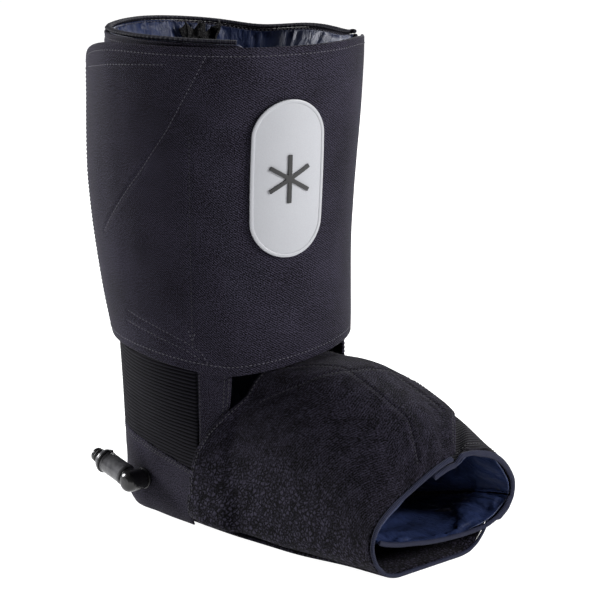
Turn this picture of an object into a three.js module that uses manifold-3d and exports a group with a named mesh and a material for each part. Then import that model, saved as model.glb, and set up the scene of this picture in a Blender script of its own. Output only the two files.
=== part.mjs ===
// A cold compression wrap for the lower leg and foot: a soft boot of sewn panels round water chambers, closed by
// two hook-and-loop flaps, with a swivelling hose coupling at the heel.
// Millimetres. +X points to the toe, -Y to the side that the flaps close on, +Z up.
// The origin is on the sole's underside, below the axis of the leg tube.
import * as THREE from "three";
import { mergeVertices } from "three/addons/utils/BufferGeometryUtils.js";
import Module from "manifold-3d";

const wasm = await Module();
wasm.setup();

// ---------------------------------------------------------------- driving dimensions
// Sheets
const FABRIC = 2.4; // laminated shell fabric
const CHAMBER = 6.5; // filled water chamber with its nylon lining
const CLEAR = 0.8; // between neighbouring sheets
const BINDING = 2.2; // width of the tape sewn over an edge
const HOOK = 1.1; // hook patch
const LAID = 0.8; // between a curved sheet and what is fixed on it

// Leg tube
const ANKLE_RADIUS = 72; // outside of the leg shell at the ankle
const CALF_BULGE = 7.5; // extra radius at the back of the calf
const RIM_RADIUS = 79.5; // outside of the leg shell at the rim
const LEG_BOTTOM = 112.4; // lower edge of the leg shell
const RIM_HEIGHT = 310; // mean height of the rim
const RIM_TILT = 4; // the rim is higher on the near side by this much
const CALF_RISE = 80; // height over which the calf bulge grows
const FLARE_HEIGHT = 55; // height of the flared zone below the rim
const FRONT_SEAM = 47; // direction of the seam that carries the closure flap
const BACK_SEAM = 210; // direction of the seam that carries the near wing
const SEAM_GAP = 0.6; // degrees between a seam and each panel that meets it
const WING_END = -34; // direction of the near wing's free edge
const WING_CORNER = 8; // degrees of the chamfer at the wing's free corner
const WING_DROP = 7; // and its drop
const TAB_DEG = 152; // direction of the pull tab
const TAB_HALF = 9; // degrees to each side
const TAB_LOW = 20; // ends of the pull tab below the mean rim
const TAB_HIGH = 5;
const TAB_THICK = 3;
const TAB_FOLD = 2; // extra thickness in its middle

// Closure flap
const CLOSURE_TOP = 309;
const CLOSURE_LOW = 104.5; // lowest point of the lower edge
const CLOSURE_LOW_DEG = -46; // direction of that lowest point
const CLOSURE_SWEEP = 12.5; // rise of the lower edge towards both ends
const CLOSURE_END = -137; // direction of the free edge
const CLOSURE_CORNER = 28; // drop of the rounded upper free corner
const CLOSURE_CORNER_DEG = 45; // spread of that corner
const CLOSURE_LIFT = 8.5; // how far the free end stands off the wing
const CLOSURE_GAP = 1.2; // and the rest of the flap
const CLOSURE_STRAIGHT = -55; // the free end lifts from this direction on
const PATCH_END = -103; // the hook patch runs from the free edge to here
const PATCH_LOW = 190; // and between these heights
const PATCH_HIGH = 272;
const BADGE_WIDTH = 50;
const BADGE_HEIGHT = 98;
const BADGE_DEG = -20;
const BADGE_Z = 228;
const BADGE_THICK = 1.6;
const SYMBOL_SPAN = 30;
const SYMBOL_BAR = 2.6;
const SYMBOL_THICK = 0.8;
const SYMBOL_OUT = BADGE_THICK + 0.3 + SYMBOL_THICK / 2; // middle of the symbol above the badge's back

// Heel and ankle
const HEEL_X = -28; // centre of the heel's round
const HEEL_RADIUS = 49;
const HEEL_HEIGHT = 25; // the heel is upright up to here
const HEEL_ROUND = 14; // height of the rounded lower edge
const HEEL_TUCK = 5; // how far that edge turns in
const SEAM_X = 26; // side seam of the ribbed panel at its low end
const SIDE_Y = 56; // half-width of the boot at that seam
const ANKLE_FRONT = 45; // front edge of the ankle panels at their top, degrees from the toe line
const RIB_BACK = 64; // height of the ribbed panel's lower edge at the back of the heel
const RIB_FRONT = 38; // and at its side seams
const SIDE_SEAM = 0.86; // place of the side seams on the heel's outline, where 1 is its front end
const ANKLE_FULL = 86; // the ankle panels reach their full width at this height

// Foot
const TOE_X = 178;
const TOE_HEIGHT = 72;
const TOE_HALF = 68.5; // half-width at the toe opening
const TOE_SHIFT = 6.5; // the toe opening sits this far towards the far side
const INSTEP_X = 60;
const INSTEP_HEIGHT = 109;
const INSTEP_HALF = 57;
const WIDEST_REAR = 35; // height of the widest level at the instep
const WIDEST_TOE = 25; // and at the toe
const UNDERLAP = 2.4; // room for the hook patch between the two foot flaps
const TOE_LIFT = 8; // how far the inner tube stands off the sole at the toe
const FAR_FLAP_EDGE = -8; // Y of the far flap's free edge on top of the foot
const FAR_SETBACK = 1.6; // the far flap's rear edge stays this far clear of the heel cup
const FLAP_FOOT = 228; // angle of the flaps' lower edge on the near side; the far side mirrors it
const BASE_NEAR = 198; // angles of the edges of the chamber under the foot
const BASE_FAR = 342;
const FOOT_PATCH_X = [96, 146]; // rear and toe ends of the hook patch on the far flap
const FOOT_PATCH_Y = [34, 12]; // and its two sides
const SOLE_SHARE = 0.84; // width of the sole as a share of the foot's
const SOLE_GAP = 0.6; // between the sole and the heel cup round it
const SOLE_HEEL_RADIUS = HEEL_RADIUS - HEEL_TUCK - FABRIC - SOLE_GAP;
// The flaps' rear edge: height, then X
const REAR_EDGE = [[0, 14], [40, 28], [62, 39], [84, 56], [100, 62], [130, 62]];
// The tab's free edge on top of the foot: X, then Y
const TAB_EDGE = [[62, 34], [100, 44], [152, 40], [176, 13], [178, 12]];

// Hose coupling
const PORT_DEG = 268; // direction of the port's axis
const PORT_Z = 23;
const STEM_DEG = 164; // direction of the stem about the port's axis
const SPIGOT_RADIUS = 3.4;
const SPIGOT_BORE = 2;
const RUNNING = 0.3; // radial clearance of turning and sliding fits
const ELBOW_RADIUS = 6.8;
const ELBOW_LENGTH = 15.5;
const STEM_HEIGHT = 6.9; // from the elbow's inner face to the stem's axis
const STEM_LENGTH = 31;
const STEM_RADIUS = 5.1;
const SLEEVE_RADIUS = 7.2;
const SLEEVE_START = 7.4;
const NOZZLE_RADIUS = 4.6;
const NOZZLE_LENGTH = 7;
const NOZZLE_BORE = 2.1;
const POPPET_RADIUS = 1.3;
const VALVE_CHAMBER = 3.9;
const VALVE_SEAT_DEPTH = 15; // depth of the valve chamber from the stem's end

// ---------------------------------------------------------------- helpers
const rad = THREE.MathUtils.degToRad;
const lerp = THREE.MathUtils.lerp;
const clamp01 = (a) => THREE.MathUtils.clamp(a, 0, 1);
const smooth = (a) => clamp01(a) ** 2 * (3 - 2 * clamp01(a));
const signedPower = (a, power) => Math.sign(a) * Math.abs(a) ** power;

// The value at a position on a chain of [position, value] pairs
function along(chain, position) {
  const next = chain.findIndex(([at], index) => index > 0 && (at > position || index === chain.length - 1));
  const [[from, low], [to, high]] = chain.slice(next - 1, next + 1);
  return lerp(low, high, clamp01((position - from) / (to - from)));
}

// A closed sheet: u runs round the boot, v runs along it and w from the inner face to the outer one
function sheet(uCells, vCells, place) {
  const geometry = new THREE.BoxGeometry(1, 1, 1, uCells, vCells, 1).translate(0.5, 0.5, 0.5);
  const corners = geometry.getAttribute("position");
  for (let i = 0; i < corners.count; i += 1) {
    const point = place(corners.getX(i), corners.getY(i), corners.getZ(i));
    corners.setXYZ(i, point.x, point.y, point.z);
  }
  geometry.computeVertexNormals();
  return geometry;
}

function solid(geometry) {
  const bare = geometry.clone();
  bare.deleteAttribute("normal");
  bare.deleteAttribute("uv");
  const merged = mergeVertices(bare, 1e-4);
  return new wasm.Manifold(new wasm.Mesh({
    numProp: 3,
    vertProperties: new Float32Array(merged.getAttribute("position").array),
    triVerts: new Uint32Array(merged.getIndex().array),
  }));
}

function surface(manifold) {
  const mesh = manifold.getMesh();
  const geometry = new THREE.BufferGeometry();
  geometry.setAttribute("position", new THREE.BufferAttribute(new Float32Array(mesh.vertProperties), 3));
  geometry.setIndex(new THREE.BufferAttribute(new Uint32Array(mesh.triVerts), 1));
  geometry.computeVertexNormals();
  return geometry;
}

// A turned piece about Z: each profile point is [radius, height], anticlockwise in the radius-height plane
function turned(profile, sides) {
  const points = profile.map(([radius, height]) => new THREE.Vector2(radius, height));
  return new THREE.LatheGeometry([...points, points[0]], sides).rotateX(Math.PI / 2);
}

function tube(inner, outer, from, to, sides) {
  return turned([[inner, from], [outer, from], [outer, to], [inner, to]], sides);
}

function rod(radius, from, to, sides) {
  const cylinder = new THREE.CylinderGeometry(radius, radius, to - from, sides);
  return cylinder.rotateX(Math.PI / 2).translate(0, 0, (from + to) / 2);
}

function ring(centreRadius, wire, height) {
  return new THREE.TorusGeometry(centreRadius, wire, 6, 20).translate(0, 0, height);
}

const wrap = new THREE.Group();
const finishes = {
  twill: { color: 0x23222c, roughness: 0.9, metalness: 0 },
  loop: { color: 0x2b2a33, roughness: 0.95, metalness: 0 },
  elastic: { color: 0x1d1d22, roughness: 0.9, metalness: 0 },
  lining: { color: 0x1b2750, roughness: 0.55, metalness: 0 },
  binding: { color: 0x4d5270, roughness: 0.8, metalness: 0 },
  hook: { color: 0x17171b, roughness: 0.9, metalness: 0 },
  badge: { color: 0xb9bbbd, roughness: 0.45, metalness: 0 },
  black_plastic: { color: 0x101013, roughness: 0.25, metalness: 0 },
  grey_plastic: { color: 0x6d6c72, roughness: 0.2, metalness: 0 },
  seal: { color: 0x141414, roughness: 0.5, metalness: 0 },
  steel: { color: 0xa8a9ac, roughness: 0.3, metalness: 1 },
};

function add(name, finish, geometry, parent = wrap) {
  const mesh = new THREE.Mesh(geometry, new THREE.MeshStandardMaterial(finishes[finish]));
  mesh.name = name;
  parent.add(mesh);
  return mesh;
}

// ---------------------------------------------------------------- leg tube
function shellRadius(degrees, z) {
  const back = 0.5 - 0.5 * Math.cos(rad(degrees - FRONT_SEAM));
  const calf = ANKLE_RADIUS + CALF_BULGE * back * smooth((z - LEG_BOTTOM - 5) / CALF_RISE);
  return lerp(calf, RIM_RADIUS, smooth((z - RIM_HEIGHT + FLARE_HEIGHT) / FLARE_HEIGHT));
}

function legPoint(degrees, z, depth) {
  const radius = shellRadius(degrees, z) - depth;
  return new THREE.Vector3(radius * Math.cos(rad(degrees)), radius * Math.sin(rad(degrees)), z);
}

// Height of the rim, which is highest on the near side
const rimTop = (degrees) => RIM_HEIGHT + RIM_TILT * Math.cos(rad(degrees + 85));

// A panel on the leg tube between two directions, two depths below the shell's face and two heights
function legPanel(cells, rows, from, to, shallow, deep, low, high) {
  return sheet(cells, rows, (u, v, w) => {
    const degrees = lerp(from, to, u);
    const z = lerp(low(degrees), high(degrees), v);
    return legPoint(degrees, z, lerp(deep(degrees, z), shallow(degrees, z), w));
  });
}

const fixed = (value) => () => value;
const CHAMBER_OUT = FABRIC + CLEAR;
const CHAMBER_IN = CHAMBER_OUT + CHAMBER;
const CHAMBER_LOW = LEG_BOTTOM + 5;
const shellTop = (degrees) => rimTop(degrees) - BINDING - CLEAR;
const bindingLow = (degrees) => rimTop(degrees) - BINDING;

add("leg_shell", "twill",
  legPanel(20, 8, FRONT_SEAM + SEAM_GAP, BACK_SEAM - SEAM_GAP, fixed(0), fixed(FABRIC),
    fixed(LEG_BOTTOM), shellTop));
add("calf_chamber_back", "lining", legPanel(20, 8, FRONT_SEAM + 2 * SEAM_GAP, BACK_SEAM - 2 * SEAM_GAP,
  fixed(CHAMBER_OUT), fixed(CHAMBER_IN), fixed(CHAMBER_LOW), shellTop));
add("rim_binding_back", "binding", legPanel(22, 1, FRONT_SEAM + SEAM_GAP, BACK_SEAM - SEAM_GAP,
  fixed(0), fixed(CHAMBER_OUT + FABRIC), bindingLow, rimTop));

// The wing's free corner is chamfered down to the closure flap's edge
const wingCut = (degrees) => clamp01((degrees - WING_END + WING_CORNER) / WING_CORNER) * WING_DROP;
const wingStart = BACK_SEAM - 360 + SEAM_GAP;
add("near_wing", "twill", legPanel(15, 8, wingStart, WING_END, fixed(0), fixed(FABRIC), fixed(LEG_BOTTOM),
  (degrees) => shellTop(degrees) - wingCut(degrees)));
add("calf_chamber_near", "lining", legPanel(14, 8, wingStart + SEAM_GAP, WING_END - 3,
  fixed(CHAMBER_OUT), fixed(CHAMBER_IN), fixed(CHAMBER_LOW), (degrees) => shellTop(degrees) - wingCut(degrees)));
add("rim_binding_wing", "binding", legPanel(15, 1, wingStart, WING_END - WING_CORNER - 1,
  fixed(0), fixed(CHAMBER_OUT + FABRIC), bindingLow, rimTop));

// A loop of webbing sewn inside the back of the rim, for pulling the boot on
add("pull_tab", "hook", legPanel(5, 4, TAB_DEG - TAB_HALF, TAB_DEG + TAB_HALF, fixed(CHAMBER_IN + CLEAR),
  (degrees) => CHAMBER_IN + CLEAR + TAB_THICK + TAB_FOLD * Math.cos(rad((90 / TAB_HALF) * (degrees - TAB_DEG))),
  fixed(RIM_HEIGHT - TAB_LOW), fixed(RIM_HEIGHT - TAB_HIGH)));

// ---------------------------------------------------------------- closure flap
const closureBottom = (degrees) => CLOSURE_LOW
  + CLOSURE_SWEEP * Math.abs(Math.sin(rad(degrees - CLOSURE_LOW_DEG))) ** 1.3;

function closureTop(degrees) {
  const corner = clamp01((CLOSURE_END + CLOSURE_CORNER_DEG - degrees) / CLOSURE_CORNER_DEG);
  return CLOSURE_TOP - CLOSURE_CORNER * (1 - Math.sqrt(1 - (0.98 * corner) ** 2));
}

// How far the flap's inner face stands off the shell's outer one
function closureStandoff(degrees, z) {
  const towardsEnd = smooth((CLOSURE_STRAIGHT - degrees) / (CLOSURE_STRAIGHT - CLOSURE_END));
  return CLOSURE_GAP + CLOSURE_LIFT * towardsEnd * smooth((z - LEG_BOTTOM) / CALF_RISE);
}

const closureInner = (degrees, z) => -closureStandoff(degrees, z);
const closureOuter = (degrees, z) => closureInner(degrees, z) - FABRIC;
add("closure_flap", "twill", legPanel(26, 10, CLOSURE_END, FRONT_SEAM - SEAM_GAP, closureOuter, closureInner,
  closureBottom, closureTop));
add("calf_chamber_front", "lining", legPanel(12, 8, WING_END + 5, FRONT_SEAM - 2 * SEAM_GAP,
  (degrees, z) => closureInner(degrees, z) + 2 * CLEAR, fixed(CHAMBER_IN), fixed(CLOSURE_LOW + CLOSURE_SWEEP + 6),
  (degrees) => closureTop(degrees) - 3));
add("closure_hook_patch", "hook", legPanel(6, 4, CLOSURE_END + 3, PATCH_END,
  (degrees, z) => closureInner(degrees, z) + LAID, (degrees, z) => closureInner(degrees, z) + LAID + HOOK,
  fixed(PATCH_LOW), fixed(PATCH_HIGH)));

// A point on a badge worn on the closure flap: across and up from its centre, out from the flap's face
function badgePoint(across, up, out) {
  const z = BADGE_Z + up;
  const radius = shellRadius(BADGE_DEG, z) - closureOuter(BADGE_DEG, z) + LAID;
  const degrees = BADGE_DEG + THREE.MathUtils.radToDeg(across / radius);
  return legPoint(degrees, z, closureOuter(degrees, z) - LAID - out);
}

add("badge_plate", "badge", sheet(8, 16, (u, v, w) => {
  const up = (v - 0.5) * BADGE_HEIGHT;
  const straight = (BADGE_HEIGHT - BADGE_WIDTH) / 2;
  const round = clamp01((Math.abs(up) - straight) / (BADGE_WIDTH / 2));
  const half = (BADGE_WIDTH / 2) * Math.sqrt(1 - (0.97 * round) ** 2);
  return badgePoint((2 * u - 1) * half, up, w * BADGE_THICK);
}));

// A snowflake of three crossed bars
function snowflake() {
  const bars = [0, 60, 120].map((turn) => solid(
    new THREE.BoxGeometry(SYMBOL_BAR, SYMBOL_SPAN, SYMBOL_THICK, 1, 8, 1).rotateZ(rad(turn)),
  ));
  const geometry = surface(bars[0].add(bars[1]).add(bars[2]));
  const corners = geometry.getAttribute("position");
  for (let i = 0; i < corners.count; i += 1) {
    const point = badgePoint(corners.getX(i), corners.getY(i), SYMBOL_OUT + corners.getZ(i));
    corners.setXYZ(i, point.x, point.y, point.z);
  }
  return geometry;
}
add("badge_symbol", "black_plastic", snowflake());

// ---------------------------------------------------------------- heel and ankle
// Where the heel's outline runs at ground level: s is 0 at the back, -1 at the near front and 1 at the far front
function heelOutline(s) {
  const t = Math.abs(s);
  const side = s < 0 ? -1 : 1;
  if (t <= 0.5) {
    const turn = Math.PI - Math.PI * t;
    return new THREE.Vector2(HEEL_X + HEEL_RADIUS * Math.cos(turn), side * HEEL_RADIUS * Math.sin(turn));
  }
  const forward = (t - 0.5) / 0.36;
  const x = lerp(HEEL_X, SEAM_X, forward);
  return new THREE.Vector2(x, side * lerp(HEEL_RADIUS, SIDE_Y, Math.min(forward, 1)));
}

// The ankle's outline is round, where the leg shell begins
function ankleOutline(s) {
  const turn = rad(180 - Math.abs(s) * (180 - ANKLE_FRONT));
  return new THREE.Vector2(ANKLE_RADIUS * Math.cos(turn), Math.sign(s || 1) * ANKLE_RADIUS * Math.sin(turn));
}

function heelFace(s, z) {
  const climb = clamp01((z - HEEL_HEIGHT) / (LEG_BOTTOM - HEEL_HEIGHT));
  return heelOutline(s).lerp(ankleOutline(s), climb);
}

function heelPoint(s, z, depth) {
  const step = 0.01;
  const face = heelFace(s, z);
  const run = heelFace(s + step, z).sub(heelFace(s - step, z)).normalize();
  const tuck = HEEL_TUCK * clamp01(1 - z / HEEL_ROUND) ** 2;
  const inward = depth + tuck;
  return new THREE.Vector3(face.x - run.y * -inward, face.y - run.x * inward, z);
}

// A panel on the heel between two places, from the far side round the back to the near side
function heelPanel(cells, rows, from, to, outer, inner, low, high) {
  return sheet(cells, rows, (u, v, w) => {
    const s = lerp(from, to, u);
    const z = lerp(low(s), high(s), v);
    return heelPoint(s, z, lerp(inner, outer, w));
  });
}

const ribLow = (s) => lerp(RIB_BACK, RIB_FRONT, Math.abs(s / SIDE_SEAM) ** 1.2);
add("ribbed_elastic_panel", "elastic", heelPanel(30, 4, SIDE_SEAM, -SIDE_SEAM, 0, FABRIC, ribLow,
  fixed(LEG_BOTTOM - CLEAR)));

// The heel cup's front edges follow the rear edge of the foot flaps
function cupPlace(u, z) {
  const reach = 0.5 + 0.36 * ((along(REAR_EDGE, z) - 1.5 - HEEL_X) / (SEAM_X - HEEL_X));
  return lerp(Math.min(reach, SIDE_SEAM), -Math.min(reach, SIDE_SEAM), u);
}

const heelCup = sheet(28, 5, (u, v, w) => {
  const low = v * RIB_FRONT;
  const s = cupPlace(u, low);
  const z = v * (ribLow(s) - CLEAR);
  return heelPoint(cupPlace(u, Math.min(z, RIB_FRONT)), z, lerp(FABRIC, 0, w));
});

// The ankle panels run from the side seams to their front edge, and taper down along the foot flaps' rear edge
function anklePanel(side) {
  const seam = SIDE_SEAM + 0.006;
  return sheet(5, 8, (u, v, w) => {
    const z = lerp(RIB_FRONT + 4, LEG_BOTTOM - CLEAR, v);
    const front = lerp(seam + 0.008, 1, clamp01((z - RIB_FRONT - 6) / (ANKLE_FULL - RIB_FRONT)));
    const t = side < 0 ? lerp(front, seam, 1 - u) : lerp(front, seam, u);
    return heelPoint(side * t, z, lerp(FABRIC, 0, w));
  });
}
add("near_ankle_panel", "twill", anklePanel(-1));
add("far_ankle_panel", "twill", anklePanel(1));

const heelChamber = heelPanel(26, 4, SIDE_SEAM - 0.05, 0.05 - SIDE_SEAM, CHAMBER_OUT + CLEAR, CHAMBER_IN,
  fixed(HEEL_ROUND + 5), fixed(LEG_BOTTOM - 4));

// ---------------------------------------------------------------- foot
const toeward = (x) => clamp01((x - INSTEP_X) / (TOE_X - INSTEP_X));

// The foot's section at a station: its half-width, middle, top, widest height and the squareness of its shoulders
function station(x) {
  const t = toeward(x);
  return {
    half: lerp(INSTEP_HALF, TOE_HALF, t),
    middle: TOE_SHIFT * t,
    top: INSTEP_HEIGHT - (INSTEP_HEIGHT - TOE_HEIGHT) * t ** 1.8,
    widest: lerp(WIDEST_REAR, WIDEST_TOE, t),
    shoulder: lerp(0.45, 1.4, t),
    lean: TOE_SHIFT * t,
  };
}

// A point of the section's outline, in Y and Z; the angle runs from the far side over the top to the near side
function footOutline(x, angle) {
  const { half, middle, top, widest, shoulder, lean } = station(x);
  const across = Math.cos(rad(angle));
  const up = Math.sin(rad(angle));
  if (up >= 0) {
    return new THREE.Vector2(middle + half * signedPower(across, shoulder) + lean * up, lerp(widest, top, up));
  }
  return new THREE.Vector2(middle + half * signedPower(across, 0.25), widest * (1 - Math.sqrt(-up)));
}

function footPoint(x, angle, depth) {
  const step = 0.5;
  const face = footOutline(x, angle);
  const run = footOutline(x, angle + step).sub(footOutline(x, angle - step)).normalize();
  return new THREE.Vector3(x, face.x - run.y * depth, face.y + run.x * depth);
}

// The angle at which the upper outline reaches a given Y
function angleAt(x, y) {
  const { half, middle, shoulder, lean } = station(x);
  const reach = THREE.MathUtils.clamp((y - middle - lean) / half, -1, 1);
  return THREE.MathUtils.radToDeg(Math.acos(signedPower(reach, 1 / shoulder)));
}

// Where the flaps' rear edge crosses the outline at an angle
function rearX(angle) {
  const { y: z } = footOutline(INSTEP_X - 10, angle);
  return along(REAR_EDGE, Math.max(z, 0));
}

const FLAP_END_X = TOE_X - BINDING - CLEAR;

// A panel on the foot between two angles, which may vary along it
function footPanel(cells, rows, from, to, outer, inner, setback, end) {
  return sheet(cells, rows, (u, v, w) => {
    const rough = lerp(from(INSTEP_X + 40), to(INSTEP_X + 40), u);
    const x = lerp(rearX(rough) + setback, end, v);
    const angle = lerp(from(x), to(x), u);
    return footPoint(x, angle, lerp(inner(angle, x), outer(angle, x), w));
  });
}

const tabAngle = (x) => angleAt(x, along(TAB_EDGE, x));
add("instep_flap", "loop", footPanel(24, 8, tabAngle, fixed(FLAP_FOOT), fixed(0), fixed(FABRIC), 0, FLAP_END_X));

// The far flap dives under the instep flap before it reaches the tab's edge
const farDive = (angle) => (FABRIC + UNDERLAP) * smooth((angle - 18) / 24);
const farEdge = (x) => angleAt(x, FAR_FLAP_EDGE);
const farShallow = (angle) => farDive(angle);
const farDeep = (angle) => farDive(angle) + FABRIC;
const FAR_FOOT = 180 - FLAP_FOOT;
add("far_foot_flap", "elastic",
  footPanel(20, 8, fixed(FAR_FOOT), farEdge, farShallow, farDeep, FAR_SETBACK, FLAP_END_X));

const CHAMBER_END_X = FLAP_END_X - 4;
const FOOT_CHAMBER = CHAMBER - 0.5;
add("instep_chamber", "lining", footPanel(14, 8, (x) => angleAt(x, FAR_FLAP_EDGE - 4), fixed(194),
  fixed(CHAMBER_OUT), fixed(CHAMBER_OUT + FOOT_CHAMBER), 5, CHAMBER_END_X));
add("far_foot_chamber", "lining", footPanel(14, 8, fixed(-14), (x) => angleAt(x, FAR_FLAP_EDGE + 2),
  (angle) => farDeep(angle) + CLEAR, (angle) => farDeep(angle) + CLEAR + FOOT_CHAMBER, 5, CHAMBER_END_X));

// The chamber under the foot lifts off the sole towards the toe
const baseLift = (x) => TOE_LIFT * smooth((x - 105) / (TOE_X - 105));
const baseUpper = (angle, x) => CHAMBER_OUT + baseLift(x) * clamp01(-Math.sin(rad(angle)) * 1.6);
add("foot_chamber_base", "lining", footPanel(18, 7, fixed(BASE_NEAR), fixed(BASE_FAR), baseUpper,
  (angle, x) => baseUpper(angle, x) + FOOT_CHAMBER, 8, CHAMBER_END_X));

add("instep_hook_patch", "hook", sheet(5, 4, (u, v, w) => {
  const x = lerp(...FOOT_PATCH_X, v);
  const angle = lerp(angleAt(x, FOOT_PATCH_Y[0]), angleAt(x, FOOT_PATCH_Y[1]), u);
  return footPoint(x, angle, FABRIC + lerp(LAID + HOOK, LAID, w));
}));

// Tapes sewn over the edges round the toe opening
function toeBinding(cells, from, to, outer, inner, x) {
  return sheet(cells, 1, (u, v, w) => {
    const at = x + v * BINDING;
    const angle = lerp(from, to, u);
    return footPoint(at, angle, lerp(inner(angle), outer(angle), w));
  });
}
const BINDING_X = TOE_X - BINDING;
add("toe_binding_instep", "binding",
  toeBinding(22, tabAngle(TOE_X) + 1, FLAP_FOOT, fixed(-0.3), fixed(FABRIC + 0.3), BINDING_X));
add("toe_binding_far", "binding", toeBinding(20, FAR_FOOT, farEdge(TOE_X) - 1,
  (angle) => farShallow(angle) - 0.3, (angle) => farDeep(angle) + 0.3, BINDING_X));

// The sole is cut flat, with its edges just inside the walls' lower edges
function soleOutline() {
  const edge = (x) => {
    const { half, middle } = station(x);
    return [middle - half * SOLE_SHARE, middle + half * SOLE_SHARE];
  };
  const outline = new THREE.Shape();
  outline.moveTo(HEEL_X, SOLE_HEEL_RADIUS);
  outline.absarc(HEEL_X, 0, SOLE_HEEL_RADIUS, Math.PI / 2, 1.5 * Math.PI, false);
  const stations = [INSTEP_X, (INSTEP_X + TOE_X) / 2, FLAP_END_X];
  outline.lineTo(REAR_EDGE[0][1] - 2, -SOLE_HEEL_RADIUS - 4);
  stations.forEach((x) => outline.lineTo(x, edge(x)[0]));
  stations.toReversed().forEach((x) => outline.lineTo(x, edge(x)[1]));
  outline.lineTo(REAR_EDGE[0][1] - 2, SOLE_HEEL_RADIUS + 4);
  return outline;
}
add("sole_panel", "loop",
  new THREE.ExtrudeGeometry(soleOutline(), { depth: FABRIC, bevelEnabled: false, curveSegments: 18 }));

const SOLE_TOE = station(FLAP_END_X);
add("toe_binding_sole", "binding", new THREE.BoxGeometry(BINDING, SOLE_TOE.half * 1.6, FABRIC + 0.3, 1, 6, 1)
  .translate(BINDING_X + BINDING / 2, SOLE_TOE.middle, (FABRIC + 0.3) / 2));

// ---------------------------------------------------------------- hose coupling
// Local Z runs out of the heel along the port's axis and local Y is up
const port = new THREE.Group();
const portOut = new THREE.Vector3(Math.cos(rad(PORT_DEG)), Math.sin(rad(PORT_DEG)), 0);
const upward = new THREE.Vector3(0, 0, 1);
port.quaternion.setFromRotationMatrix(
  new THREE.Matrix4().makeBasis(new THREE.Vector3().crossVectors(upward, portOut), upward, portOut),
);
port.position.set(HEEL_X, 0, PORT_Z);
port.updateMatrixWorld(true);
wrap.add(port);

const FLANGE_RADIUS = 9;
const FLANGE_TOP = Math.sqrt((HEEL_RADIUS - FABRIC - CLEAR) ** 2 - FLANGE_RADIUS ** 2);
const FLANGE = 1.6;
// The heel leans outwards to the ankle, so the washer stands off it by a share of that lean
const WASHER_STANDOFF = 1.8 / 23;
const WASHER_LOW = HEEL_RADIUS + WASHER_STANDOFF * (ANKLE_RADIUS - HEEL_RADIUS);
const WASHER = 1.6;
const ELBOW_LOW = WASHER_LOW + WASHER + 0.3;
const SPIGOT_TOP = ELBOW_LOW + STEM_HEIGHT - 2.6;
const SEAL_WIRE = 0.45;
const GROOVE = 1.2;
const GROOVE_LOW = ELBOW_LOW + 1;

add("port_spigot", "black_plastic", turned([
  [SPIGOT_BORE, FLANGE_TOP - FLANGE], [FLANGE_RADIUS, FLANGE_TOP - FLANGE], [FLANGE_RADIUS, FLANGE_TOP],
  [SPIGOT_RADIUS, FLANGE_TOP], [SPIGOT_RADIUS, GROOVE_LOW], [SPIGOT_RADIUS - 0.7, GROOVE_LOW],
  [SPIGOT_RADIUS - 0.7, GROOVE_LOW + GROOVE], [SPIGOT_RADIUS, GROOVE_LOW + GROOVE],
  [SPIGOT_RADIUS, SPIGOT_TOP], [SPIGOT_BORE, SPIGOT_TOP],
], 20), port);
add("port_washer", "black_plastic",
  tube(SPIGOT_RADIUS + RUNNING, ELBOW_RADIUS + RUNNING, WASHER_LOW, WASHER_LOW + WASHER, 24), port);
add("swivel_o_ring", "seal",
  ring(SPIGOT_RADIUS + RUNNING - SEAL_WIRE - 0.02, SEAL_WIRE, GROOVE_LOW + GROOVE / 2), port);

// The heel fabric and its chamber are cut for the spigot and the flange
function cutFor(geometry, radius) {
  const cutter = rod(radius, HEEL_RADIUS - 25, HEEL_RADIUS + 10, 20).applyMatrix4(port.matrixWorld);
  return surface(solid(geometry).subtract(solid(cutter)));
}
add("heel_cup", "twill", cutFor(heelCup, SPIGOT_RADIUS + RUNNING));
add("heel_chamber", "lining", cutFor(heelChamber, FLANGE_RADIUS + CLEAR));

// Local Z of the stem runs from the elbow's axis to the nozzle
const stem = new THREE.Group();
const stemOut = new THREE.Vector3(Math.cos(rad(STEM_DEG)), Math.sin(rad(STEM_DEG)), 0);
stem.quaternion.setFromRotationMatrix(
  new THREE.Matrix4().makeBasis(new THREE.Vector3().crossVectors(new THREE.Vector3(0, 0, 1), stemOut).negate(),
    new THREE.Vector3(0, 0, -1), stemOut),
);
stem.position.set(0, 0, ELBOW_LOW + STEM_HEIGHT);
port.add(stem);
stem.updateMatrix();

const CHAMBER_FLOOR = STEM_LENGTH - VALVE_SEAT_DEPTH;

function elbow() {
  const body = turned([
    [0, 0], [ELBOW_RADIUS - 0.8, 0], [ELBOW_RADIUS, 0.8], [ELBOW_RADIUS, ELBOW_LENGTH - 4.5],
    [ELBOW_RADIUS * 0.87, ELBOW_LENGTH - 1.8], [ELBOW_RADIUS * 0.55, ELBOW_LENGTH - 0.4], [0, ELBOW_LENGTH],
  ], 24).translate(0, 0, ELBOW_LOW);
  const arm = rod(STEM_RADIUS, 0, STEM_LENGTH, 20).applyMatrix4(stem.matrix);
  const collar = rod(ELBOW_RADIUS - 0.5, 0, SLEEVE_START - 0.3, 20).applyMatrix4(stem.matrix);
  const upright = rod(SPIGOT_RADIUS + RUNNING, ELBOW_LOW - 1, SPIGOT_TOP + 0.4, 20);
  const riser = rod(SPIGOT_BORE, ELBOW_LOW, ELBOW_LOW + STEM_HEIGHT, 12);
  const passage = rod(SPIGOT_BORE, 0, STEM_LENGTH + 1, 12).applyMatrix4(stem.matrix);
  const chamber = rod(VALVE_CHAMBER, CHAMBER_FLOOR, STEM_LENGTH + 1, 20).applyMatrix4(stem.matrix);
  const outside = solid(body).add(solid(arm)).add(solid(collar));
  return surface([upright, riser, passage, chamber].reduce((left, tool) => left.subtract(solid(tool)), outside));
}
add("elbow_body", "black_plastic", elbow(), port);

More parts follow.
